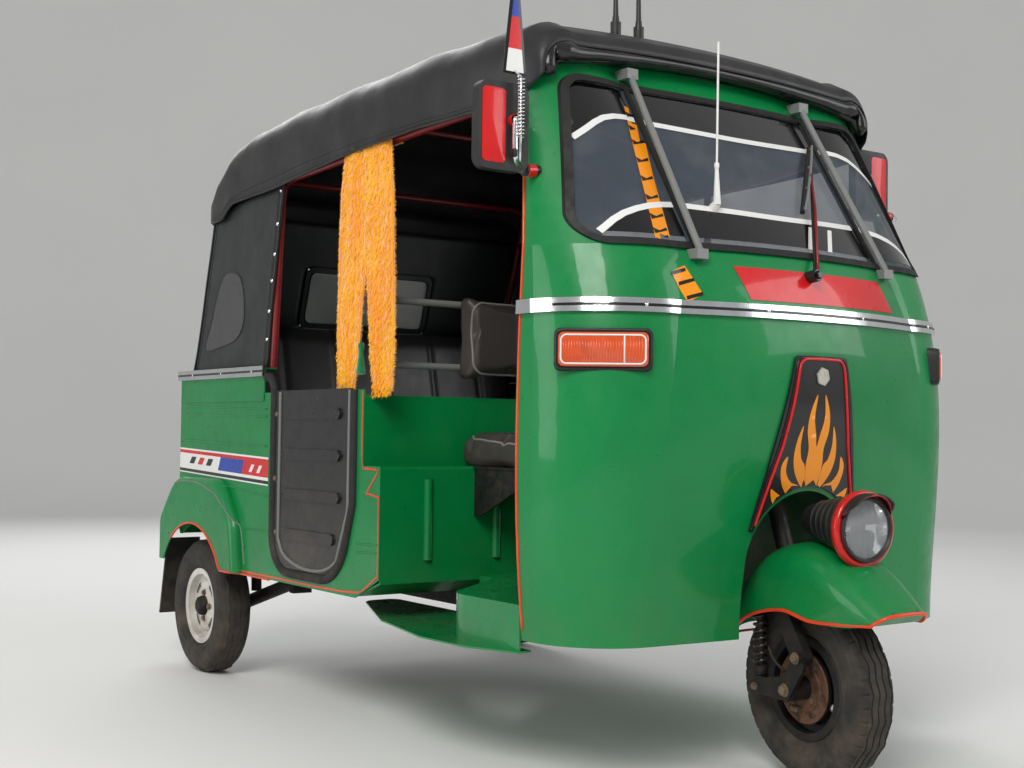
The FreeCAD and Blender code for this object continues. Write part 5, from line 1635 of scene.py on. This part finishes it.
def fender_lips():
    side = curve([on_fender(w + 0.5, angle, foot) for angle, crown, w, foot in FENDER], 0.010)
    angle, crown, w, foot = FENDER[-1]
    low = max(foot + 12, crown - 62)
    rise = crown - low
    nose = [(w, low), (w * 0.78, low + rise * 0.72), (w * 0.42, low + rise * 0.95)]
    nose = [on_fender(x, angle, r) for x, r in nose]
    across = [side[-1]] + nose + [on_fender(0, angle, crown)] + flipped([side[-1]] + nose)
    lip = side[:-1] + curve(across, 0.010) + flipped(side[:-1])
    on_fork("fender_lip", [tube(lip, 0.0040, 8)], "red_line", 180)
    tail = [(84, 226), (65.5, 234), (35, 237.4), (0, 238), (-35, 237.4), (-65.5, 234), (-84, 226)]
    tail = curve([on_fender(x, 24, r) for x, r in tail], 0.01)
    on_fork("fender_rear_lip", [tube(tail, 0.0030, 8)], "red_line", 180)


fender_lips()

# Headlamp: ribbed housing, red ring, visor with a red edge, dark bezel, fluted lens over a bright bowl
LAMP_Y = -1.150
LAMP_Z = 0.562


def about_lamp(profile, n, y=LAMP_Y):
    return turn(profile, (0, y, LAMP_Z), (0, -1, 0), n)


def headlamp_ribs():
    ribs = []
    for y in (-1.040, -1.062, -1.084, -1.106, -1.128):
        t = (y + 1.0) / (LAMP_Y - 0.007 + 1.0)
        r = 0.034 + (0.072 - 0.034) * t
        z = 0.574 + (LAMP_Z - 0.574) * t
        rib = [(-0.0055, r - 0.0015), (-0.0030, r + 0.0026), (0.0030, r + 0.0032), (0.0055, r - 0.0010)]
        ribs.append(turn(rib, (0, y, z), (0, -1, 0.07), 48))
    on_fork("headlamp_ribs", ribs, "plastic", 60)


def headlamp_front():
    ring = about_lamp([(-0.0060, 0.0730), (-0.0050, 0.0795), (0.0000, 0.0825), (0.0080, 0.0830),
                       (0.0130, 0.0812), (0.0152, 0.0770), (0.0150, 0.0715), (0.0120, 0.0670),
                       (0.0040, 0.0640), (0.0008, 0.0640), (0.0008, 0.0725), (-0.0060, 0.0730)], 80)
    on_fork("headlamp_ring", [ring], "red_rim", 50, "headlamp_rim")
    bezel = about_lamp([(0.0100, 0.0690), (0.0180, 0.0712), (0.0225, 0.0690), (0.0232, 0.0655),
                        (0.0205, 0.0622), (0.0130, 0.0610)], 80)
    on_fork("headlamp_bezel", [bezel], "plastic", 50)
    bowl = about_lamp([(-0.0700, 0.0), (-0.0680, 0.0100), (-0.0560, 0.0235), (-0.0350, 0.0380),
                       (-0.0100, 0.0500), (0.0000, 0.0560), (0.0130, 0.0622)], 64)
    on_fork("headlamp_bowl", [bowl], "chrome", 180)
    bulb = dome((0, LAMP_Y + 0.048, LAMP_Z), (0, -1, 0), 0.008, 0.014, 20)
    collar = about_lamp([(0, 0.0), (0, 0.010), (0.020, 0.010), (0.020, 0.0)], 20, LAMP_Y + 0.066)
    on_fork("headlamp_bulb", [bulb, collar], "white_plastic", 60)


def headlamp_lens():
    """Round domed glass with upright flutes."""
    rows = []
    for i in range(49):
        x = -0.0622 + 0.1244 * i / 48
        half = math.sqrt(max(0.0, 0.0628 ** 2 - x * x))
        row = []
        for j in range(25):
            z = -half * (1 - 2 * j / 24)
            y = LAMP_Y - 0.0285 + 0.5 * (x * x + z * z) / 0.150 - 0.0013 * abs(math.sin(x * 520.0))
            row.append(Vector((x, y, LAMP_Z + z)))
        rows.append(row)
    on_fork("headlamp_lens_fluted", [grid(rows)], "lens_clear", 20, "headlamp_lens")


def visor_trim():
    edge = []
    for t in range(-62, 63, 4):
        a = math.radians(t)
        y = LAMP_Y - 0.014 - 0.030 * math.cos(a * 90 / 74)
        edge.append(Vector((0.0760 * math.sin(a), y, LAMP_Z + 0.0760 * math.cos(a) - 0.002)))
    on_fork("visor_edge", [tube(edge, 0.0024, 8)], "red_rim", 180)
    screws = []
    for t in (-62, 62):
        a = math.radians(t)
        place = (0.0750 * math.sin(a), LAMP_Y - 0.006, LAMP_Z + 0.0750 * math.cos(a))
        screws.append(bolt(place, (0, -1, 0), 0.003, 0.002))
    on_fork("visor_screws", screws, "chrome", 30)


headlamp_ribs()
headlamp_front()
headlamp_lens()
visor_trim()

# Handlebar: rubber grips with rings, levers and switch boxes
BAR_Z = 0.946


def handlebar_grips():
    grips = []
    for s in (-1, 1):
        start = Vector((s * 0.218, -0.656, BAR_Z + 0.010))
        run = Vector((s * 0.312, -0.632, BAR_Z + 0.016)) - start
        rings = [(run.length * i / 16, 0.0178 + 0.0012 * (i % 2)) for i in range(17)]
        grips.append(turn([(0.0, 0.0110)] + rings + [(run.length, 0.0)], start, run, 24))
    on_fork("handlebar_grips", grips, "rubber", 40)


def handlebar_levers():
    levers = []
    for s in (-1, 1):
        pts = [(s * 0.200, -0.690, BAR_Z + 0.006), (s * 0.232, -0.700, BAR_Z + 0.004),
               (s * 0.275, -0.690, BAR_Z + 0.004), (s * 0.315, -0.676, BAR_Z + 0.006)]
        levers.append(tube(curve(pts, 0.008), 0.0050, 8))
        levers.append(dome(pts[-1], (s, 0.3, 0), 0.0065, 0.005, 14))
        x = s * 0.200
        levers.append(block(x - 0.013, x + 0.013, -0.700, -0.674, BAR_Z - 0.010, BAR_Z + 0.020, 0.004))
    on_fork("handlebar_levers", levers, "dusty_steel", 50)


handlebar_grips()
handlebar_levers()

# Apron plate: red bead inside its border, a plain flame and a bare hexagon
# The flame has three tongues on each side of a middle one, drawn as closed outlines in mm
FLAME = [
    [(0, 600), (-16, 640), (-26, 690), (-24, 730), (-34, 770), (-30, 812), (-12, 850), (-16, 800),
     (-6, 760), (0, 735), (6, 760), (16, 800), (12, 850), (30, 812), (34, 770), (24, 730), (26, 690),
     (16, 640)],
    [(-22, 640), (-52, 668), (-66, 706), (-62, 748), (-48, 780), (-50, 738), (-42, 706), (-28, 690)],
    [(-28, 608), (-66, 622), (-92, 652), (-100, 690), (-84, 712), (-84, 680), (-66, 656), (-36, 644)],
    [(-30, 584), (-70, 588), (-110, 608), (-122, 640), (-104, 632), (-78, 620), (-40, 616)],
]


def apron_line(half, top, lift, r):
    """Bead laid along the plate, up one side, over the top and down the other."""
    line = mm(half) + [(0.0, top)] + mm([(-a, b) for a, b in reversed(half)])
    return tube(laid(resample(line, 110), "front", APRON, lift), r, 8)


def apron_trim():
    bead = [(-155, 560), (-128, 655), (-104, 735), (-84, 830), (-72, 905), (-66, 921), (-54, 928)]
    make("apron_bead", apron_line(bead, 0.929, 0.0012, 0.0034), "red", smooth=180)
    edge = [(-164, 550), (-138, 650), (-113, 735), (-93, 830), (-80, 905), (-74, 925), (-60, 935)]
    make("apron_edge", apron_line(edge, 0.936, 0.0004, 0.0024), "black_gloss", smooth=180)
    flame = []
    for line in FLAME:
        c = smooth_line(mm(line), 0.006, True)
        flame.append(patch(c, "front", APRON, 0.0007, 0.02))
        if line[0][0] != 0:
            flame.append(patch([(-a, b) for a, b in reversed(c)], "front", APRON, 0.0007, 0.02))
    make("apron_flame", join(*flame), "flame", smooth=180)


def apron_badge():
    """Bare hexagon, square to the plate."""
    middle = lay(0.0, 0.890, "front", APRON, 0.0)
    a, b = [lay(x, 0.890 + z, "front", APRON, 0.0) - middle for x, z in spaced(6, 0.021)[0:3:2]]
    out = a.cross(b).normalized()
    if out.y > 0:
        out = -out
    profile = [(0.0, 0.0), (0.0, 0.0215), (0.0028, 0.0215), (0.0042, 0.0190), (0.0042, 0.0)]
    make("apron_badge", turn(profile, middle, out, 6), "badge", smooth=20)


apron_trim()
apron_badge()

# Indicators: orange lens in two parts with a pale outline and ribs
LAMP_AT = Vector((-0.517, -0.880, 0.932))
LAMP_TURN = math.radians(-39.3)


def on_lamp(pts, s):
    """Points (u along the lamp, w outwards, z) on the right lamp (s is -1) or the left one."""
    c = math.cos(LAMP_TURN)
    sn = math.sin(LAMP_TURN)
    out = [Vector((u * c + w * sn, u * sn - w * c, z)) + LAMP_AT for u, w, z in pts]
    return out if s < 0 else [Vector((-p.x, p.y, p.z)) for p in out]


def lamp_loop(half, high, w, r, s):
    return on_lamp([(a, w, b) for a, b in rounded(-half, half, -high, high, r, 6)], s)


def lamp_form(rings):
    """Closed forms for both lamps, through rounded loops of (half width, half height, depth, corner)."""
    out = []
    for s in (-1, 1):
        verts = []
        for half, high, w, r in rings:
            verts += lamp_loop(half, high, w, r, s)
        n = len(verts) // len(rings)
        faces = []
        for j in range(len(rings) - 1):
            for k in range(n):
                faces.append((j * n + k, j * n + (k + 1) % n, (j + 1) * n + (k + 1) % n, (j + 1) * n + k))
        faces.append(tuple(range(n))[::-1])
        faces.append(tuple(range((len(rings) - 1) * n, len(rings) * n)))
        out.append((verts, faces))
    return join(*out)


def indicators():
    box = [(0.1030, 0.0450, -0.018, 0.012), (0.1030, 0.0450, 0.022, 0.014), (0.1010, 0.0430, 0.030, 0.014),
           (0.0975, 0.0395, 0.032, 0.012), (0.0955, 0.0375, 0.0295, 0.012)]
    make("indicator_boxes", lamp_form(box), "plastic", smooth=40, replaces="indicator_housings")
    lens = [(0.0935, 0.0355, 0.0280, 0.012), (0.0935, 0.0355, 0.0330, 0.012), (0.0915, 0.0335, 0.0350, 0.011)]
    make("indicator_domes", lamp_form(lens), "amber", smooth=40, replaces="indicator_lenses")
    outline = []
    flutes = []
    for s in (-1, 1):
        outline.append(tube(lamp_loop(0.0880, 0.0300, 0.0353, 0.012, s), 0.0019, 8, closed=True))
        outline.append(tube(on_lamp([(0.044, 0.0355, -0.0300), (0.044, 0.0355, 0.0300)], s), 0.0017, 8))
        for u in [-0.0830 + 0.0058 * k for k in range(22)] + [0.0505 + 0.0062 * k for k in range(6)]:
            flutes.append(tube(on_lamp([(u, 0.0347, -0.0270), (u, 0.0347, 0.0270)], s), 0.0013, 6))
    make("indicator_outline", join(*outline), "white", smooth=180)
    make("indicator_flutes", join(*flutes), "amber", smooth=180)


indicators()

# Mirrors: bright glass on the rear faces with a black bead, red panels, blocks and bright arms
# Each: side, its sign along X, centre of the head and foot of the arm in mm
MIRRORS = (("right", -1, Vector((-670, -711, 1411)), Vector((-562, -700, 1330))),
           ("left", 1, Vector((670, -560, 1452)), Vector((562, -690, 1345))))


def mirror_glass(side, centre):
    x, y, z = centre / 1000
    face = rounded(x - 0.058, x + 0.058, z - 0.088, z + 0.088, 0.022, 6)
    make("mirror_glass_" + side, plate(face, y + 0.0131, y + 0.0146, "y", 0.0005), "mirror_face", smooth=30)
    bead = rounded(x - 0.060, x + 0.060, z - 0.090, z + 0.090, 0.024, 6)
    make("mirror_bead_" + side, tube([Vector((a, y + 0.0135, b)) for a, b in bead], 0.0032, 8, closed=True),
         "plastic", smooth=180)


def mirror_panel(s, centre):
    """Red panel on the outer half of a mirror's front."""
    x, y, z = centre / 1000
    x0, x1 = sorted((x + s * 0.056, x - s * 0.004))
    return plate(rounded(x0, x1, z - 0.080, z + 0.080, 0.010, 4), y - 0.0142, y - 0.0128, "y", 0.0004)


def red_cap(start, end, r, tip, place, axis):
    """Short red block from start to end along its axis, tip the radius of its small end."""
    profile = [(start, 0.0), (start, r), (end, r), (end + 0.002, tip), (end + 0.002, 0.0)]
    return turn(profile, place, axis, 20)


def mirror_arm(s, back, centre, foot):
    """Bent rod from its foot on the cowl to the head."""
    a = foot / 1000
    b = (foot + Vector((s * 60, -6, -6))) / 1000
    c = (centre + Vector((-s * 20, -back, -60))) / 1000
    d = (centre + Vector((-s * 22, -22, 20))) / 1000
    fine = [a, a.lerp(b, 0.75), b.lerp(c, 0.10), b.lerp(c, 0.85), c.lerp(d, 0.3), d]
    return tube(curve(fine, 0.008), 0.0070, 10)


def mirrors():
    for side, s, centre, foot in MIRRORS:
        mirror_glass(side, centre)
    panels = [mirror_panel(s, centre) for side, s, centre, foot in MIRRORS]
    make("mirror_red_panels", join(*panels), "red", smooth=30)
    caps = [red_cap(0.0, 0.020, 0.0128, 0.0108, (-0.648, -0.735, 1.425), (0, 1, 0)),
            red_cap(0.0, 0.022, 0.0128, 0.0108, (0.648, -0.586, 1.466), (0, 1, 0))]
    for side, s, centre, foot in MIRRORS:
        caps.append(red_cap(0.012, 0.034, 0.0145, 0.0120, foot / 1000, (s, -0.1, -0.1)))
    make("mirror_red_blocks", join(*caps), "red_rim", smooth=40)
    arms = [mirror_arm(s, back, centre, foot) for back, (side, s, centre, foot) in zip((26, 30), MIRRORS)]
    make("mirror_arms", join(*arms), "chrome", smooth=180)


mirrors()

# Aerials: ribbed black bases, and the white foot and tip of the screen aerial


def aerials():
    bases = []
    for x in (-0.228, -0.156):
        rings = [(0.0, 0.0)]
        for k in range(7):
            up = k * 0.008
            slim = k * 0.0004
            rings += [(0.002 + up, 0.0140 - slim), (0.006 + up, 0.0140 - slim), (0.0075 + up, 0.0118 - slim)]
        rings += [(0.060, 0.0090), (0.075, 0.0078), (0.076, 0.0)]
        bases.append(turn(rings, (x, -0.552, 1.692), (0, 0, 1), 20))
    make("roof_aerial_bases", join(*bases), "plastic", smooth=40)
    cuff = turn([(0.0, 0.0), (0.0, 0.0050), (0.004, 0.0058), (0.010, 0.0058), (0.013, 0.0046), (0.013, 0.0)],
                (-0.192, -0.872, 1.354), (0, 0, 1), 16)
    tip = dome((-0.186, -0.868, 1.639), (0, 0, 1), 0.0036, 0.004, 12)
    make("screen_aerial_fittings", join(cuff, tip), "white_plastic", smooth=60)


aerials()

# Wiper: grey blade with its frame, thin reddish arm, nut on the boss


def wiper():
    low = Vector((0.080, -0.8745, 1.282))
    high = Vector((0.256, -0.7285, 1.478))
    out = Vector((0.0, -0.86, 0.50)).normalized()
    claws = [low.lerp(high, t) for t in (0.04, 0.34, 0.66, 0.96)]
    claws = [tube([c + out * 0.001, c + out * 0.010], 0.0032, 6) for c in claws]
    spine = []
    for k in range(13):
        t = k / 12
        spine.append(low.lerp(high, t) + out * (0.010 + 0.006 * math.sin(math.pi * t)))
    make("wiper_frame", join(tube(spine, 0.0030, 6), *claws), "grey", smooth=40)
    boss = Vector((0.0, -0.996, 1.118))
    arm = [boss + Vector((0, -0.003, 0.001)), boss.lerp(Vector((0.250, -0.738, 1.471)), 0.5) + out * 0.005,
           low.lerp(high, 0.5) + out * 0.017]
    make("wiper_arm_line", tube(arm, 0.0036, 8), "red_tube", smooth=180)
    nut = bolt((0.0, -0.998, 1.1183), (0, -1, 0.1), 0.0085, 0.007)
    make("wiper_nut", nut, "black_gloss", smooth=30)


wiper()

# Screws of the bright strips round the cab


def strip_screws():
    screws = []
    for side, s in (("right", -1), ("left", 1)):
        along = laid([(y, 0.925) for y in (-0.02, 0.62, 0.84, 1.06)], side, STRIPS)
        screws += [dome(h, (s, 0, 0), 0.0048, 0.0018, 12) for h in along]
    across = laid([(x, 1.028) for x in (-0.45, -0.15, 0.15, 0.45)], "front", STRIPS)
    screws += [dome(h, (0, -1, 0), 0.0048, 0.0018, 12) for h in across]
    make("strip_screws", join(*screws), "chrome", smooth=60)


strip_screws()

# Sides: pressed swages, grey seam over the rear wheel, red lip on the lower edge. Points: (y, z) in mm
SWAGES = [
    [(1150, 830), (840, 822), (525, 815)],
    [(1150, 803), (840, 798), (525, 794)],
    [(1150, 721), (840, 715), (525, 710)],
    [(796, 585), (650, 576), (499, 566)],
    [(659, 466), (575, 467), (486, 467)],
    [(-12, 471), (-70, 472), (-119, 473)],
    [(-13, 449), (-70, 452), (-119, 454)],
]
SEAM = [(1150, 582), (1065, 591), (960, 590), (891, 578), (825, 562), (771, 535), (725, 500),
        (688, 457), (663, 359)]
SIDES = (("right", tree(N["body_side_right"], N["rear_fenders"], N["rear_panel"])),
         ("left", tree(N["body_side_left"], N["rear_fenders"], N["engine_hatch"], N["rear_panel"])))


def swages(side, on):
    press = []
    for line in SWAGES:
        pts = laid(resample(smooth_line(mm(line), 0.02), 40), side, on, 0.0002, 0.55)
        if len(pts) > 3:
            press.append(tube(pts, 0.0026, 8))
    make("swages_" + side, join(*press), "green", smooth=180)


def fender_seam(side, on):
    pts = laid(resample(smooth_line(mm(SEAM), 0.02), 70), side, on, 0.0, 0.55)
    make("fender_seam_" + side, tube(pts, 0.00252, 8), "grey_seam", smooth=180)


def lower_edge(y, side, on):
    """Lowest place at y where the side still meets the pieces, going down."""
    z = 0.62
    last = None
    while z > 0.25:
        h = lay(y, z, side, on, 0.0)
        if h is None or abs(h.x) < 0.50:
            break
        last = h
        z -= 0.0015
    return last


def side_lip(side, on):
    """Bead along the lower edge, in runs that end where the edge jumps."""
    runs = [[]]
    for k in range(93):
        h = lower_edge(1.176 - k * 0.0131, side, on)
        if h is not None and 0.28 < h.z < 0.60:
            if runs[-1] and (h - runs[-1][-1]).length > 0.05:
                runs.append([])
            runs[-1].append(h)
    lips = [tube(run, 0.0036, 8) for run in runs if len(run) > 3]
    make("side_lip_" + side, join(*lips), "red_line", smooth=180)


for draw in (swages, fender_seam, side_lip):
    for side, on in SIDES:
        draw(side, on)

# Door panel on the right: grey bead inside its edge, bolts and rivets


def door_panel():
    door = tree(N["door_panel_right"])
    low = [(430, 453), (390, 409), (284, 383), (170, 384), (90, 413), (26, 475)]
    line = mm([(430, 862), (430, 453)]) + smooth_line(mm(low), 0.01) + mm([(26, 475), (24, 862)])
    bead = tube(laid(resample(line, 150), "right", door, 0.0004), 0.0052, 8)
    make("door_bead", bead, "grey_seam", smooth=180)
    spots = mm([(452, 800), (458, 620), (448, 470), (372, 372), (228, 362), (80, 384), (8, 500), (6, 660),
                (6, 820)])
    bolts = [bolt(h, (-1, 0, 0), 0.0052, 0.0035) for h in laid(spots, "right", door)]
    make("door_bolts", join(*bolts), "dusty_steel", smooth=30)
    spots = [(y, z) for z in (0.800, 0.690, 0.580) for y in (0.072, 0.402)]
    rivets = [dome(h, (-1, 0, 0), 0.0042, 0.0028, 12) for h in laid(spots, "right", door)]
    make("door_rivets", join(*rivets), "black_gloss", smooth=60)


door_panel()

# Yellow strip down the right quarter glass and on over the cowl, with slanted black bars
FRONT = tree(N["windscreen_frame"], N["cowl"])


def yellow_strip():
    down = [(-0.296, 1.505), (-0.318, 1.420), (-0.342, 1.310), (-0.364, 1.200), (-0.374, 1.158)]
    on = [(-0.352, 1.112), (-0.338, 1.078), (-0.324, 1.048)]
    strip = ribbon(smooth_line(down, 0.02), 0.040, "front", GLASS, 0.0010, across=3)
    make("quarter_strip", strip, "flame", smooth=180)
    strip = ribbon(smooth_line(on, 0.01), 0.044, "front", FRONT, 0.0012, across=3)
    make("cowl_strip", strip, "flame", smooth=180)
    bars = []
    for k in range(9):
        t = (0.06 + 0.105 * k) * (len(down) - 1)
        a, b = Vector(down[int(t)]).lerp(Vector(down[int(t) + 1]), t - int(t))
        bar = [(-0.019, -0.004), (0.019, 0.006), (0.019, 0.013), (-0.004, 0.004), (-0.019, 0.010)]
        bars.append(patch([(a + x, b + z) for x, z in bar], "front", GLASS, 0.0016, 0.02))
    for a, b in on:
        bar = [(-0.020, -0.004), (0.020, 0.008), (0.020, 0.015), (-0.020, 0.004)]
        bars.append(patch([(a + x, min(b, 1.100) + z) for x, z in bar], "front", FRONT, 0.0018, 0.02))
    make("strip_bars", join(*bars), "black", smooth=180)


yellow_strip()

# Red line down the cowl's rear edges, beside the doorways


def rear_edge(z, side):
    """Place where the cowl begins at height z, going forward from the doorway."""
    y = -0.30
    while y > -0.86:
        h = lay(y, z, side, FRONT, 0.0004)
        if h is not None and abs(h.x) > 0.45:
            return lay(y - 0.006, z, side, FRONT, 0.0004)
        y -= 0.002
    return None


def cowl_edge_line(side):
    run = []
    z = 0.335
    while z < 1.50:
        p = rear_edge(z, side)
        if p is not None and (not run or (p - run[-1]).length < 0.06):
            run.append(p)
        z += 0.016
    return tube(run, 0.0032, 8)


make("cowl_edge_lines", join(cowl_edge_line("right"), cowl_edge_line("left")), "red_line", smooth=180)

# Tail: lamp frames with a divider, ribbed lenses, hatch latches, mudflap bolts


def tail_lamps():
    frames = []
    ribs = []
    for s in (-1, 1):
        x0, x1 = sorted((s * 0.430, s * 0.596))
        around = rounded(x0 - 0.004, x1 + 0.004, 0.581, 0.669, 0.010, 4)
        frames.append(tube([Vector((a, 1.1815, b)) for a, b in around], 0.0050, 8, closed=True))
        frames.append(block(s * 0.520 - 0.0016, s * 0.520 + 0.0016, 1.1990, 1.2012, 0.588, 0.662))
        for k in range(7):
            z = 0.596 + 0.0095 * k
            ribs.append(tube([(x0 + 0.006, 1.2004, z), (x1 - 0.006, 1.2004, z)], 0.0011, 6))
    make("tail_lamp_trim", join(*frames), "plastic", smooth=60)
    make("tail_lamp_ribs", join(*ribs), "red_lens", smooth=180)


def hatch_latches():
    head = [(0.0, 0.0), (0.0, 0.0150), (0.0020, 0.0150), (0.0040, 0.0125), (0.0045, 0.0)]
    latches = []
    for h in laid([(-0.24, 0.500), (0.24, 0.500)], "rear", tree(N["engine_hatch"])):
        latches.append(turn(head, h, (0, 1, 0), 24))
        latches.append(block(h.x - 0.0028, h.x + 0.0028, h.y + 0.003, h.y + 0.0095, h.z - 0.011, h.z + 0.011,
                             0.0012))
    make("hatch_latches", join(*latches), "dusty_steel", "engine_hatch", 40)


def mudflap_bolts():
    spots = [(s * x, 0.318) for s in (-1, 1) for x in (0.545, 0.605)]
    bolts = [bolt(h, (0, 1, 0), 0.0055, 0.004) for h in laid(spots, "rear", tree(N["mudflaps"]))]
    make("mudflap_bolts", join(*bolts), "dusty_steel", smooth=30)


tail_lamps()
hatch_latches()
mudflap_bolts()


# The stage: a pale bowl, soft light and the camera of the photo


def stage_bowl():
    rings = [(3.0, 0.0), (6.0, 0.0), (9.0, 0.0)]
    for i in range(1, 9):
        a = math.radians(90 * i / 8)
        rings.append((9.0 + 4.0 * math.sin(a), 4.0 * (1 - math.cos(a))))
    rings.append((13.0, 9.0))
    n = 96
    verts = [(0, 0, 0)]
    faces = []
    for r, z in rings:
        for k in range(n):
            t = 2 * math.pi * k / n
            verts.append((r * math.cos(t), r * math.sin(t), z))
    for k in range(n):
        faces.append((0, 1 + k, 1 + (k + 1) % n))
    for j in range(len(rings) - 1):
        a = 1 + j * n
        b = a + n
        for k in range(n):
            faces.append((a + k, b + k, b + (k + 1) % n, a + (k + 1) % n))
    me = bpy.data.meshes.new("floor")
    me.from_pydata(verts, [], faces)
    for f in me.polygons:
        f.use_smooth = True
    o = bpy.data.objects.new("floor", me)
    bpy.context.collection.objects.link(o)
    m = Mat("floor_pale", (0.80, 0.80, 0.79, 1.0), 0.9, spec=0.1)
    m.mix(m.ramp(m.noise(0.6, 1.0), 0.4, 0.7), (0.77, 0.77, 0.765, 1.0), 0.5)
    me.materials.append(m.done())


def studio_air():
    """White to the camera and through glass, dimmer as light on the vehicle."""
    world = bpy.data.worlds.new("studio")
    bpy.context.scene.world = world
    world.use_nodes = True
    nodes = world.node_tree.nodes
    links = world.node_tree.links
    air = nodes["Background"]
    air.inputs["Color"].default_value = (1.0, 1.0, 1.0, 1.0)
    path = nodes.new("ShaderNodeLightPath")
    seen = nodes.new("ShaderNodeMath")
    seen.operation = "MAXIMUM"
    links.new(path.outputs["Is Camera Ray"], seen.inputs[0])
    links.new(path.outputs["Is Transmission Ray"], seen.inputs[1])
    level = nodes.new("ShaderNodeMapRange")
    level.inputs["To Min"].default_value = 0.42
    level.inputs["To Max"].default_value = 1.0
    links.new(seen.outputs[0], level.inputs["Value"])
    links.new(level.outputs["Result"], air.inputs["Strength"])


def area(name, at, look, size, watts, color=(1, 1, 1)):
    d = bpy.data.lights.new(name, "AREA")
    d.shape = "SQUARE"
    d.size = size
    d.energy = watts
    d.color = color
    o = bpy.data.objects.new(name, d)
    o.location = at
    o.rotation_euler = (Vector(look) - Vector(at)).to_track_quat("-Z", "Y").to_euler()
    bpy.context.collection.objects.link(o)


def photo_camera():
    """Camera of the photo: its place, its turns in degrees and its lens, 1419 pixels long."""
    yaw, pitch, roll = (math.radians(a) for a in (34.95, 1.96, 0.74))
    view = Vector((math.sin(yaw) * math.cos(pitch), math.cos(yaw) * math.cos(pitch), math.sin(pitch)))
    level = Vector((math.cos(yaw), -math.sin(yaw), 0.0))
    upright = level.cross(view)
    right = level * math.cos(roll) + upright * math.sin(roll)
    up = upright * math.cos(roll) - level * math.sin(roll)
    cam = bpy.data.cameras.new("camera")
    cam.sensor_width = 36.0
    cam.sensor_fit = "HORIZONTAL"
    cam.lens = 1419.0 / 1024.0 * 36.0
    cam.clip_end = 100.0
    o = bpy.data.objects.new("camera", cam)
    bpy.context.collection.objects.link(o)
    turned = Matrix((right, up, -view)).transposed().to_4x4()
    o.matrix_world = Matrix.Translation((-2.373, -3.203, 0.757)) @ turned
    bpy.context.scene.camera = o


stage_bowl()
studio_air()
area("key", (-4.6, -4.2, 5.2), (0, 0, 0.8), 3.0, 330, (1.0, 0.98, 0.95))
area("fill", (4.5, -5.0, 3.4), (0, 0, 0.8), 3.5, 115, (0.96, 0.98, 1.0))
area("back", (1.5, 6.0, 4.6), (0, 0, 0.8), 3.5, 150)
area("left_low", (-6.5, 1.5, 2.0), (0, 0.3, 0.6), 3.0, 85)
photo_camera()
bpy.context.scene.view_settings.view_transform = "Standard"
